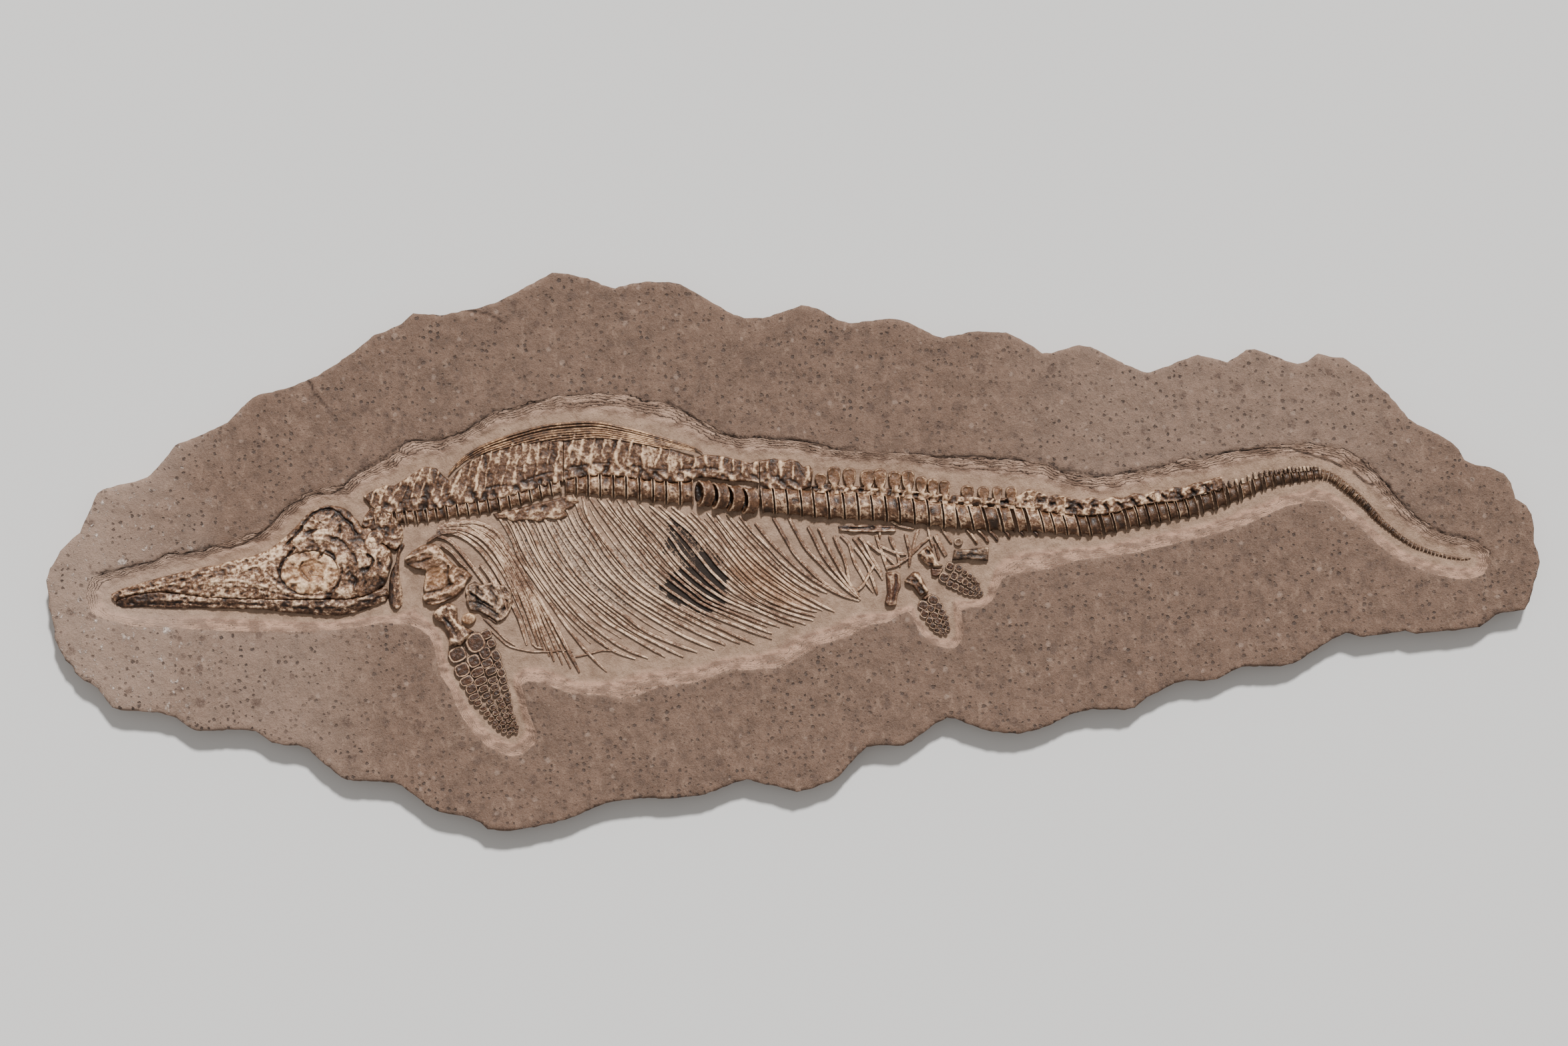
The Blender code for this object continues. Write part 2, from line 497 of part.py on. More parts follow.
def ring_of_verts(bm, loop, z):
    return [bm.verts.new(plan(x, y, z)) for x, y in loop]


def ring_edges(bm, ring):
    edges = []
    for k, vert in enumerate(ring):
        edges.append(bm.edges.get((ring[k - 1], vert)) or bm.edges.new((ring[k - 1], vert)))
    return edges


def wall(bm, ring_a, ring_b):
    for k in range(len(ring_a)):
        bm.faces.new((ring_a[k - 1], ring_a[k], ring_b[k], ring_b[k - 1]))


def build_slab(mat, group):
    """The shale matrix: a broken slab with a shallow trough that was cleared around the bones."""
    bm = bmesh.new()
    top = ring_of_verts(bm, SLAB_EDGE, SLAB_THICK)
    low = ring_of_verts(bm, inward(SLAB_EDGE, SLAB_UNDERCUT), 0.0)
    wall(bm, top, low)
    bm.faces.new(low)
    lip = ring_of_verts(bm, TROUGH_EDGE, SLAB_THICK)
    ledge = ring_of_verts(bm, inward(TROUGH_EDGE, LEDGE_IN), LEDGE_Z)
    floor = ring_of_verts(bm, inward(TROUGH_EDGE, FLOOR_IN), FLOOR_Z)
    wall(bm, lip, ledge)
    wall(bm, ledge, floor)
    bmesh.ops.triangle_fill(bm, use_beauty=True, edges=ring_edges(bm, floor), normal=(0.0, 0.0, 1.0))
    rims = ring_edges(bm, top) + ring_edges(bm, lip)
    bmesh.ops.triangle_fill(bm, use_beauty=True, edges=rims, normal=(0.0, 0.0, 1.0))
    return add_mesh(bm, "slab", mat, group)


def build_head(mats, group, cutters):
    """Skull, lower jaw and the small bones around them."""
    dome = [(0.0, 0.0), (0.0, 0.42), (0.1, 0.74), (0.34, 0.95), (0.6, 1.0), (0.84, 0.82), (1.0, 0.44), (1.0, 0.0)]
    skull = loft("skull", head_loops(SKULL_ROWS, dome), mats["skull_bone"], group)
    socket = plate("socket_cut", oval(ORBIT, 24, 0.6), 30.0, 60.0, 0.0, mats["skull_bone"], cutters)
    combine(skull, socket, "DIFFERENCE")
    ear_cut = plate("ear_cut", oval(EAR_DISC, 16, 0.6), 20.0, 60.0, 0.0, mats["skull_bone"], cutters)
    combine(skull, ear_cut, "DIFFERENCE")
    boss_cut = plate("boss_cut", oval(NECK_BOSS, 16, 0.6), 20.0, 60.0, 0.0, mats["skull_bone"], cutters)
    combine(skull, boss_cut, "DIFFERENCE")
    keel = [(1.0, 0.0), (1.0, 0.5), (0.82, 0.9), (0.45, 1.0), (0.12, 0.72), (0.0, 0.3), (0.0, 0.0)]
    loft("lower_jaw", head_loops(JAW_ROWS, keel), mats["dark_bone"], group)
    build_eye_ring(mats["dark_bone"], group)
    button("ear_bone", EAR_DISC, BED_Z, 36.0, mats["bone"], group)
    button("neck_boss", NECK_BOSS, BED_Z, 39.0, mats["bone"], group)
    plate("hyoid_bone", HYOID, BED_Z, 31.5, 1.6, mats["bone"], group)


def build_eye_ring(mat, group):
    """The ring of thin bony plates that stiffened the eye, as one dished oval ring."""
    loops = []
    sides = 22
    for grow, z in ((0.0, 30.3), (0.0, 33.0), (-9.0, 37.5), (-24.0, 38.5), (-27.0, 34.0), (-27.0, 30.3)):
        loops.append([(x, y, z) for x, y in oval(ORBIT, sides, grow)])
    bm = bmesh.new()
    rings = [[bm.verts.new(plan(*p)) for p in loop] for loop in loops]
    for k, ring in enumerate(rings):
        wall(bm, rings[k - 1], ring)
    return add_mesh(bm, "eye_ring", mat, group)


def build_shoulder(mats, group):
    """Plates of the shoulder, upper arm bone and the front paddle."""
    plate("shoulder_plate", SHOULDER, BED_Z, 33.0, 2.0, mats["bone"], group)
    plate("coracoid_plate", CORACOID, BED_Z, 32.0, 1.8, mats["grey_bone"], group)
    plate("upper_arm_bone", HUMERUS, BED_Z, 35.0, 3.0, mats["dark_bone"], group)
    button("wrist_pebble", WRIST_PEBBLE, BED_Z, 33.0, mats["bone"], group)
    plate("front_paddle", FOREFIN, BED_Z, 29.5, 1.4, mats["dark_bone"], group)


def build_backbone(mats, group, cutters, sections):
    """Runs of vertebral bodies with the spines that stand on them."""
    round_top = sections["spool"]
    bone = mats["bone"]
    dark = mats["dark_bone"]
    neck = rod("neck_backbone", spool_line(NECK_ROWS, 0.86), round_top, BED_Z, bone, group)
    crest = plate("neck_crest", NECK_CREST, BED_Z + 0.2, SPINE_Z, 1.5, bone, cutters)
    combine(neck, crest, "UNION")
    front = rod("trunk_backbone_front", spool_line(TRUNK_FRONT_ROWS, 0.86), round_top, BED_Z, bone, group)
    crest = plate("trunk_crest", TRUNK_CREST, BED_Z + 0.2, SPINE_Z, 1.5, bone, cutters)
    combine(front, crest, "UNION")
    rear = rod("trunk_backbone_rear", spool_line(TRUNK_REAR_ROWS, 0.86), round_top, BED_Z, bone, group)
    crest = plate("rear_crest", REAR_CREST, BED_Z + 0.2, SPINE_Z, 1.5, bone, cutters)
    combine(rear, crest, "UNION")
    add_spines(rear, REAR_SPINES, bone, cutters)
    tail = rod("tail_backbone_front", spool_line(TAIL_FRONT_ROWS, 0.86), round_top, BED_Z, bone, group)
    add_spines(tail, TAIL_SPINES, bone, cutters)
    for k, (x1, y1, x2, y2) in enumerate(CHEVRONS):
        line = [(x1, y1, 2.6), (x2, y2, 2.0)]
        bar = rod(f"chevron_{k + 1}", line, sections["rib"], BED_Z + 0.1, bone, cutters)
        combine(tail, bar, "UNION")
    rod("tail_backbone_middle", spool_line(TAIL_MIDDLE_ROWS, 0.84), round_top, BED_Z, dark, group)
    rod("tail_backbone_rear", spool_line(TAIL_REAR_ROWS, 0.8), round_top, BED_Z, dark, group)
    rod("tail_tip", TAIL_TIP_LINE, round_top, BED_Z, dark, group)
    rod("back_tendons", BACK_TENDONS, sections["band"], BED_Z, mats["dark_bone"], group)


def add_spines(target, rows, mat, cutters):
    """Free-standing spines: rounded lobes with a foot in the backbone."""
    for k, (x, top, half, foot) in enumerate(rows):
        lobe = [
            (x - half, foot), (x - half, top + 0.9 * half), (x - 0.6 * half, top + 0.2 * half), (x, top),
            (x + 0.6 * half, top + 0.2 * half), (x + half, top + 0.9 * half), (x + half, foot),
        ]
        part = plate(f"{target.name}_spine_{k + 1}", lobe, BED_Z + 0.2 + 0.05 * (k % 2), ARCH_Z, 0.0, mat, cutters)
        combine(target, part, "UNION")


def build_tilted_bodies(mat, group):
    """Four loose vertebral bodies, each leaning on the next like fallen coins."""
    for k in range(4):
        x = 1055.5 + 22.3 * k
        y = 738.5 + 3.6 * k
        half = 19.5
        loops = []
        for across, lift in ((-1.0, 0.0), (-0.6, 0.75), (0.0, 1.0), (0.6, 0.75), (1.0, 0.0)):
            bend = 8.0 * (1.0 - across * across) - 3.0
            yy = y + half * across
            top = BED_Z + 2.0 + 12.5 * lift
            loops.append([
                (x + bend - 9.2, yy, BED_Z), (x + bend + 9.2, yy, BED_Z),
                (x + bend + 9.2, yy, top), (x + bend, yy, top - 2.2), (x + bend - 9.2, yy, top),
            ])
        loft(f"tilted_vertebra_{k + 1}", loops, mat, group)


def build_hips(mats, group, sections):
    """Bones of the hip, the hind limbs and the two hind paddles."""
    plate("hip_bar", PELVIC_BAR, BED_Z, 29.5, 1.2, mats["bone"], group)
    plate("loose_thigh_bone", LOOSE_THIGH, BED_Z, 33.0, 2.2, mats["dark_bone"], group)
    plate("grey_block_bone", GREY_BLOCK, BED_Z, 33.0, 1.8, mats["grey_bone"], group)
    button("ring_bone", RING_BONE, BED_Z, 29.5, mats["grey_bone"], group, 12)
    rod("hip_rod", PUBIS_ROD, sections["rib"], BED_Z, mats["bone"], group)
    plate("upper_hind_thigh_bone", UPPER_THIGH, BED_Z, 32.5, 1.8, mats["bone"], group)
    plate("upper_hind_paddle", UPPER_PADDLE, BED_Z, 28.8, 1.2, mats["dark_bone"], group)
    plate("lower_hind_thigh_bone", LOWER_THIGH, BED_Z, 32.5, 1.8, mats["bone"], group)
    plate("lower_hind_paddle", LOWER_PADDLE, BED_Z, 28.8, 1.2, mats["dark_bone"], group)


def build_bundle(name, lines, half, heads, section, mat, group, cutters):
    """Ribs that lie against each other, grown into one piece."""
    first = rod(name, rib_line(lines[0], half, heads), section, BED_Z, mat, group)
    for k, points in enumerate(lines[1:]):
        lift = BED_Z + 0.12 * (1 + k % 5)
        bar = rod(f"{name}_bar_{k + 1}", rib_line(points, half, heads), section, lift, mat, cutters)
        combine(first, bar, "UNION")
    return first


def build_ribs(mats, group, cutters, sections):
    """The rib cage: one rod a rib, and the two bundles where ribs lie on each other."""
    section = sections["rib"]
    for k, points in enumerate(RIBS):
        rod(f"rib_{k + 1:02d}", rib_line(points, RIB_HALF), section, BED_Z, mats["rib_bone"], group)
    bone = mats["rib_bone"]
    build_bundle("front_rib_bundle", FRONT_BUNDLE, 2.4, (1.7, 1.7, 1.3), section, bone, group, cutters)
    build_bundle("hind_rib_bundle", HIND_BUNDLE, 2.1, (1.0, 1.0, 1.0), section, bone, group, cutters)
    thread = [(x, y, 0.9) for x, y in BELLY_THREAD]
    rod("belly_thread", thread, section, BED_Z, mats["rib_bone"], group)


def main():
    clear_scene()
    group = new_collection("fossil_ichthyosaur_skeleton")
    cutters = new_collection("cutters")
    mats = {
        "shale": stone("shale", (0.36, 0.29, 0.25), 0.85),
        "bone": stone("bone", (0.24, 0.16, 0.115), 0.4),
        "rib_bone": stone("rib_bone", (0.40, 0.29, 0.22), 0.42),
        "skull_bone": stone("skull_bone", (0.33, 0.24, 0.18), 0.4),
        "dark_bone": stone("dark_bone", (0.10, 0.068, 0.05), 0.35),
        "grey_bone": stone("grey_bone", (0.21, 0.19, 0.175), 0.4),
    }
    sections = {
        "rib": profile_curve("rib_section", [(-1, 0), (1, 0), (0.92, 1.2), (0.1, 1.9), (-0.9, 1.3)], cutters),
        "band": profile_curve("band_section", [(-1, 0), (1, 0), (0.8, 0.6), (0, 0.8), (-0.8, 0.6)], cutters),
        "spool": profile_curve(
            "spool_section",
            [(-1, 0), (1, 0), (0.94, 0.5), (0.45, 0.86), (-0.45, 0.86), (-0.94, 0.5)],
            cutters,
        ),
    }
    build_slab(mats["shale"], group)
    build_head(mats, group, cutters)
    build_shoulder(mats, group)
    build_backbone(mats, group, cutters, sections)
    build_tilted_bodies(mats["bone"], group)
    build_ribs(mats, group, cutters, sections)
    build_hips(mats, group, sections)


main()
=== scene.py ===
import math

import bmesh
import bpy
import numpy as np
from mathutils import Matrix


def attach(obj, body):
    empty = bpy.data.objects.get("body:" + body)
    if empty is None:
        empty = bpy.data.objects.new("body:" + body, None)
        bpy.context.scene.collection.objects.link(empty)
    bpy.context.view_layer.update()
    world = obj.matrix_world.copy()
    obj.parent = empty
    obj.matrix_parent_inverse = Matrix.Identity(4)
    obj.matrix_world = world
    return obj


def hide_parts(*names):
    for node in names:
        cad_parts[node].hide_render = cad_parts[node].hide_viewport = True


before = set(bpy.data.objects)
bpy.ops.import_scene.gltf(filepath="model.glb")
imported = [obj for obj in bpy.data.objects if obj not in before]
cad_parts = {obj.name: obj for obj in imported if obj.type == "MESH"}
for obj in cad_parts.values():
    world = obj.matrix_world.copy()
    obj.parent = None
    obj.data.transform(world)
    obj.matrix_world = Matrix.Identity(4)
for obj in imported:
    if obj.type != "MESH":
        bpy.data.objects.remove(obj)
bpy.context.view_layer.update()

# Shale slab. A split plate of grey-brown shale, broken by hand to an irregular outline, with a shallow
# trough picked out around the animal down to a smooth floor. Plan points are in millimetres: x runs from
# the head end to the tail end and y from the back edge of the slab to its front edge.
MM = 0.001
PLAN_X0 = 1188.5
PLAN_Y0 = 827.25
SLAB_TOP = 32.0
FLOOR = 24.0
BED = 24.3

SLAB_EDGE = [
    (69, 870), (75, 852), (81.6, 843), (90, 825.5), (99.7, 816), (109, 807), (119.5, 799), (125, 786),
    (134, 765), (140.5, 750.5), (146, 739), (155, 733), (180.5, 726.5), (201.6, 722), (220.5, 716),
    (231, 706), (246, 689.5), (262.6, 667), (281.6, 660), (311, 648), (340.5, 633.5), (361.6, 612.4),
    (377.6, 597), (387, 591), (408, 587.6), (441.6, 578), (475, 563), (504.7, 545), (530, 527),
    (561.6, 502), (576, 497), (601.6, 485), (612, 474.7), (619, 469), (631, 470.5), (664.7, 472),
    (686, 467.6), (719.5, 461), (740.5, 455), (766, 442), (799.5, 424), (827, 408.6), (851, 411),
    (880.5, 417), (901.6, 427), (922.6, 432), (943.7, 426), (967, 422), (1002.6, 423), (1019.5, 425.5),
    (1040.5, 437), (1070, 455), (1099.5, 472), (1120.5, 477), (1143.7, 477), (1171, 469), (1200.5, 457.5),
    (1213, 458), (1234, 467), (1255, 479), (1272, 484.4), (1297, 481.5), (1327, 478), (1352, 479.4),
    (1381.6, 493), (1398, 502), (1413, 506), (1436, 501.7), (1457, 497), (1482.6, 497.5), (1508, 498),
    (1529, 508.4), (1549, 520), (1561.6, 529.7), (1576, 529), (1597, 522.5), (1618, 517), (1635, 519.6),
    (1660.5, 532.6), (1686, 546), (1719.5, 559), (1740.5, 552), (1766, 542), (1795, 532), (1816, 536),
    (1839.5, 543), (1854, 534.7), (1869, 524), (1879.5, 522.5), (1900.5, 529.7), (1926, 540), (1944.7, 545),
    (1959.5, 542), (1976, 529.7), (1993, 534.7), (2014, 536.4), (2031, 548), (2048, 559), (2060.5, 573.5),
    (2081.6, 591.6), (2111, 627), (2130, 639), (2155, 650.5), (2174, 662), (2187, 673.7), (2195, 689.7),
    (2208, 696), (2233, 701), (2254, 709.5), (2264.7, 724), (2272, 747), (2288, 758), (2295.5, 770.5),
    (2299, 791.6), (2299, 812.6), (2305, 827), (2307.7, 842), (2304.7, 859), (2298, 880), (2293, 901),
    (2286, 913.7), (2254, 918), (2241.6, 922), (2218, 940), (2187, 944), (2153, 947), (2123.7, 950),
    (2107, 946), (2077, 950.7), (2039.5, 955), (2018, 948.6), (1997, 958), (1968, 977), (1955, 985),
    (1938.6, 995), (1919.5, 998.7), (1862.6, 999), (1846, 1006), (1824.7, 1018), (1803.7, 1020.6),
    (1778.4, 1019.8), (1760.7, 1025), (1740.5, 1034.5), (1719.5, 1045), (1709, 1052.6), (1700.5, 1061),
    (1685.8, 1064.4), (1639.5, 1063), (1610, 1068.6), (1593, 1075.8), (1574, 1087.6), (1551, 1094.7),
    (1524.7, 1100), (1503.7, 1099), (1482.6, 1095.6), (1457.4, 1087), (1432, 1078), (1419.5, 1076),
    (1400.5, 1085.5), (1379.5, 1102), (1366.8, 1111.6), (1354, 1117.5), (1322.6, 1117), (1299.5, 1120),
    (1284.7, 1132.6), (1272, 1147), (1257.4, 1164), (1246.8, 1171), (1223.7, 1178.5), (1209, 1184),
    (1194, 1187), (1179.5, 1183), (1154, 1177), (1131, 1172), (1119, 1168.4), (1099.5, 1174),
    (1078.4, 1183), (1057.4, 1190.7), (1044.7, 1193), (1002.6, 1197), (960.5, 1196.6), (918.4, 1201.7),
    (897.4, 1207.6), (876, 1217), (846.8, 1229.5), (800.5, 1240), (771, 1244.6), (750, 1245.5), (730, 1243),
    (719.5, 1234), (702.6, 1225.5), (677.4, 1220), (656, 1217), (639.5, 1207), (626.8, 1196.8),
    (601.6, 1178), (591, 1174), (559.5, 1171.6), (519.5, 1169.5), (511, 1165), (498.4, 1154.7),
    (485.8, 1146), (473, 1133.7), (462.6, 1123), (447.9, 1118), (424.7, 1116.8), (407.9, 1113.5),
    (395, 1104), (382.6, 1095.8), (357.4, 1093.7), (327.9, 1095), (296, 1095.8), (285.8, 1091.6),
    (273, 1083), (264.7, 1076), (247.9, 1071), (235, 1067.6), (197.4, 1066), (180.5, 1064.6),
    (167.9, 1060.8), (159.5, 1049.5), (146.8, 1031.8), (125.8, 1020), (113, 1008.6), (109, 999),
    (98.4, 989.7), (90, 975.8), (82.8, 961), (80.3, 944), (77.4, 925), (73, 910.5), (72, 893.7),
]
TROUGH_EDGE = [
    (127, 900), (130, 880), (137, 865), (152, 857), (176, 853), (202, 845), (231, 840), (248, 830),
    (269, 826), (303, 824), (345, 809), (387, 797), (408, 784), (420, 767), (437, 753), (454, 742),
    (475, 732), (517, 725), (530, 713), (547, 704), (589, 681), (602, 668), (618, 660), (648, 658),
    (698, 645), (724, 626), (740, 617), (766, 612), (791, 601), (820, 597), (840, 591), (859, 592),
    (897, 588), (935, 590), (960, 597), (990, 601), (1040, 622), (1087, 649), (1108, 656), (1142, 655),
    (1171, 659), (1209, 659), (1255, 674), (1310, 677), (1373, 680), (1440, 685), (1474, 684), (1508, 687),
    (1551, 691), (1572, 695), (1593, 707), (1644, 715), (1698, 707), (1728, 703), (1774, 686), (1800, 688),
    (1842, 676), (1896, 667), (1955, 663), (1989, 667), (2014, 672), (2052, 693), (2082, 726), (2111, 762),
    (2153, 794), (2178, 804), (2204, 808), (2221, 815), (2233, 825), (2235, 842), (2225, 861), (2204, 869),
    (2183, 869), (2153, 863), (2119, 850), (2090, 836), (2065, 817), (2044, 796), (2023, 779), (1989, 754),
    (1972, 752), (1926, 760), (1888, 779), (1850, 794), (1804, 806), (1766, 815), (1715, 827), (1660, 837),
    (1618, 840), (1580, 853), (1531, 861), (1503, 868), (1495, 884), (1492, 895), (1474, 912), (1455, 911),
    (1441, 916), (1445, 945), (1443, 958), (1432, 973), (1416, 972), (1397, 966), (1381, 951), (1369, 930),
    (1365, 917), (1352, 920), (1331, 933), (1302, 939), (1268, 958), (1226, 968), (1209, 981), (1171, 1002),
    (1129, 1005), (1087, 1006), (1066, 1017), (1045, 1025), (1003, 1029), (973, 1036), (952, 1046),
    (931, 1049), (906, 1044), (851, 1040), (813, 1025), (790, 1022), (781, 1027), (788, 1048), (792, 1069),
    (800, 1086), (805, 1099), (803, 1116), (784, 1132), (767, 1135), (749, 1131), (728, 1119), (707, 1098),
    (694, 1079), (682, 1056), (673, 1033), (660, 1012), (655, 995), (648, 965), (643, 954), (631, 944),
    (614, 938), (568, 934), (547, 940), (513, 944), (450, 948), (387, 948), (319, 946), (260, 942),
    (202, 940), (155, 929), (137, 919),
]
ANIMAL_EDGE = [
    (165, 895), (181, 882), (218, 871), (268, 858), (310, 849), (352, 839), (392, 828), (411, 817),
    (435, 796), (459, 771), (487, 757), (517, 761), (533, 766), (541, 752), (543, 744), (564, 731),
    (590, 727), (615, 708), (638, 697), (664, 700), (689, 684), (715, 667), (752, 650), (800, 641),
    (840, 633), (890, 631), (950, 643), (1000, 657), (1052, 679), (1100, 687), (1120, 693), (1175, 690),
    (1211, 697), (1231, 710), (1250, 700), (1300, 703), (1360, 704), (1398, 717), (1450, 727), (1515, 730),
    (1570, 740), (1640, 756), (1680, 752), (1741, 730), (1777, 725), (1818, 722), (1865, 707), (1913, 697),
    (1950, 697), (1990, 703), (2020, 720), (2050, 748), (2080, 779), (2110, 803), (2150, 824), (2205, 835),
    (2206, 842), (2150, 836), (2110, 820), (2070, 792), (2035, 756), (2007, 733), (1975, 720), (1920, 732),
    (1860, 753), (1800, 775), (1740, 786), (1690, 797), (1640, 808), (1580, 807), (1540, 807), (1500, 815),
    (1483, 842), (1474, 889), (1452, 895), (1430, 886), (1415, 878), (1425, 935), (1427, 948), (1411, 953),
    (1397, 945), (1378, 923), (1372, 897), (1350, 907), (1330, 911), (1287, 906), (1250, 920), (1220, 932),
    (1170, 943), (1157, 959), (1131, 968), (1071, 977), (1024, 988), (952, 990), (909, 1008), (868, 1010),
    (830, 993), (800, 985), (780, 990), (758, 1010), (766, 1040), (776, 1074), (780, 1090), (768, 1104),
    (741, 1091), (718, 1066), (699, 1039), (681, 1009), (672, 975), (665, 942), (648, 925), (636, 910),
    (630, 890), (604, 905), (590, 915), (540, 919), (485, 925), (420, 920), (300, 914), (200, 912),
    (172, 909),
]


def plan(x, y, z):
    """A plan point in millimetres, moved to the frame in metres."""
    return ((x - PLAN_X0) * MM, (PLAN_Y0 - y) * MM, z * MM)


def plan_xy(verts):
    """Plan x and y of some vertices, as two arrays."""
    co = np.array([v.co[:2] for v in verts])
    return co[:, 0] / MM + PLAN_X0, PLAN_Y0 - co[:, 1] / MM


def ease(t):
    """A smooth step from 0 to 1."""
    t = np.clip(t, 0.0, 1.0)
    return t * t * (3.0 - 2.0 * t)


def rise(t, start, width):
    """A smooth step that begins at start and takes a width."""
    return ease((t - start) / width)


def bell(value, middle, width):
    """1 at the middle, fading out over a width on both sides."""
    return np.exp(-((value - middle) / width) ** 2)


def bumps(x, y, size, seed):
    """Smooth random relief from -1 to 1, its bumps about size millimetres across."""
    cells = 128
    net = np.random.default_rng(seed).random((cells, cells)) * 2.0 - 1.0
    u = np.asarray(x, float) / size
    v = np.asarray(y, float) / size
    i = np.floor(u).astype(int)
    j = np.floor(v).astype(int)
    f = ease(u - i)
    g = ease(v - j)
    low = net[i % cells, j % cells] * (1.0 - f) + net[(i + 1) % cells, j % cells] * f
    j = j + 1
    high = net[i % cells, j % cells] * (1.0 - f) + net[(i + 1) % cells, j % cells] * f
    return low * (1.0 - g) + high * g


def rough(x, y, size, seed, octaves=3):
    """Several sizes of bumps on top of each other."""
    return sum(bumps(x, y, size / 2.0 ** k, seed + k) / 2.0 ** k for k in range(octaves))


def creased(x, y, size, seed, octaves=3):
    """Relief with sharp crests, where a rough surface crosses its own middle."""
    return 0.6 - np.abs(rough(x, y, size, seed, octaves))


def off_stretch(x, y, start, end):
    """Squared distance from plan points to one straight stretch of a line."""
    (ax, ay), (bx, by) = start, end
    dx = bx - ax
    dy = by - ay
    t = np.clip(((x - ax) * dx + (y - ay) * dy) / max(dx * dx + dy * dy, 1e-9), 0.0, 1.0)
    return (x - ax - t * dx) ** 2 + (y - ay - t * dy) ** 2


def reach(x, y, loop):
    """Distance to a closed plan outline in millimetres, positive inside it."""
    best = np.full(np.shape(x), np.inf)
    inside = np.zeros(np.shape(x), bool)
    for (ax, ay), (bx, by) in zip([loop[-1], *loop], loop):
        best = np.minimum(best, off_stretch(x, y, (ax, ay), (bx, by)))
        crosses = (ay > y) != (by > y)
        inside ^= crosses & (x < ax + (y - ay) * (bx - ax) / (by - ay or 1e-9))
    return np.sqrt(best) * np.where(inside, 1.0, -1.0)


def chipped(loop, step, depth, seed):
    """A broken edge: the outline walked in short steps, each knocked in or out a little."""
    points = []
    for (ax, ay), (bx, by) in zip([loop[-1], *loop], loop):
        count = max(1, int(math.hypot(bx - ax, by - ay) / step))
        for n in range(count):
            t = n / count
            points.append((ax + (bx - ax) * t, ay + (by - ay) * t))
    xs, ys = np.array(points).T
    big, small = 9.0, 4.0
    xs = xs + depth * (bumps(xs, ys, big, seed) + 0.6 * bumps(xs, ys, small, seed + 1))
    ys = ys + depth * (bumps(xs, ys, big, seed + 2) + 0.6 * bumps(xs, ys, small, seed + 3))
    return list(zip(xs, ys))


def sheet_of(outline, step):
    """A flat face of the given outline, cut by planes into cells of the given size."""
    bm = bmesh.new()
    bm.faces.new([bm.verts.new(plan(x, y, SLAB_TOP)) for x, y in outline])
    bm.normal_update()
    for axis in (0, 1):
        facing = (1 - axis, axis, 0)
        ends = [p[axis] for p in outline]
        for place in np.arange(min(ends) + step * 0.53, max(ends), step):
            bits = bm.verts[:] + bm.edges[:] + bm.faces[:]
            on_cut = plan(place * (1 - axis), place * axis, 0)
            bmesh.ops.bisect_plane(bm, geom=bits, dist=1e-7, plane_co=on_cut, plane_no=facing)
    return bm


def only(items, kind):
    """The vertices, edges or faces among what an operator has made."""
    return [item for item in items if isinstance(item, kind)]


def placed(name, data):
    """An object that is linked into the scene."""
    item = bpy.data.objects.new(name, data)
    bpy.context.scene.collection.objects.link(item)
    return item


def finish_piece(bm, name, mat, nodes):
    """Turn a bmesh into a piece that rides on the part and stands for its nodes."""
    bmesh.ops.recalc_face_normals(bm, faces=bm.faces[:])
    mesh = bpy.data.meshes.new(name)
    bm.to_mesh(mesh)
    bm.free()
    mesh.shade_smooth()
    mesh.materials.append(mat)
    piece = placed(name, mesh)
    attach(piece, "root")
    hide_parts(*nodes)
    return piece


def trough_share(x, y):
    """0 on the slab's split top, rising to 1 where the trough meets the animal."""
    outer = reach(x, y, TROUGH_EDGE)
    inner = -reach(x, y, ANIMAL_EDGE)
    share = np.where(outer > 0.0, outer / np.maximum(outer + np.maximum(inner, 0.0), 0.01), outer / 30.0)
    return np.where(inner < 0.0, 1.0 - inner * 0.02, share)


LEDGES = ((0.02, 0.24), (0.17, 0.16), (0.30, 0.22), (0.46, 0.16), (0.58, 0.22))


def slab_height(x, y, edge):
    """Height of the slab's upper side: split plateau, chipped ledges down the trough, smooth floor."""
    plateau = SLAB_TOP - 0.4
    share = trough_share(x, y)
    warped = share + 0.07 * rough(x, y, 17.0, 5) + 0.035 * bumps(x, y, 5.0, 9)
    drop = sum(part * rise(warped, start, 0.035) for start, part in LEDGES)
    shelf = 0.45 * rough(x, y, 12.0, 21) * rise(share, 0.0, 0.1) * (1.0 - rise(share, 0.6, 0.15))
    sweep = 0.45 * rough(x, y, 160.0, 31, 5)
    flakes = bumps(x + 0.6 * y, y - 0.6 * x, 26.0, 41) + 0.5 * bumps(x * 0.4 + y, y * 2.0, 13.0, 43)
    flake_step = 0.5 * (rise(flakes, 0.35, 0.05) + rise(flakes, -0.25, 0.05))
    level = plateau + (sweep + flake_step) * (1.0 - rise(share, -0.2, 0.3))
    height = level + shelf - drop * (plateau - FLOOR)
    floor = FLOOR - 0.05 + 0.12 * rough(x, y, 14.0, 51)
    height = np.where(share > 0.75, np.minimum(height, floor + 0.3), height)
    lip = 3.2 + 2.4 * bumps(x, y, 21.0, 61)
    broken = np.clip(1.0 - edge / lip, 0.0, 1.0)
    return height - 1.8 * broken * broken


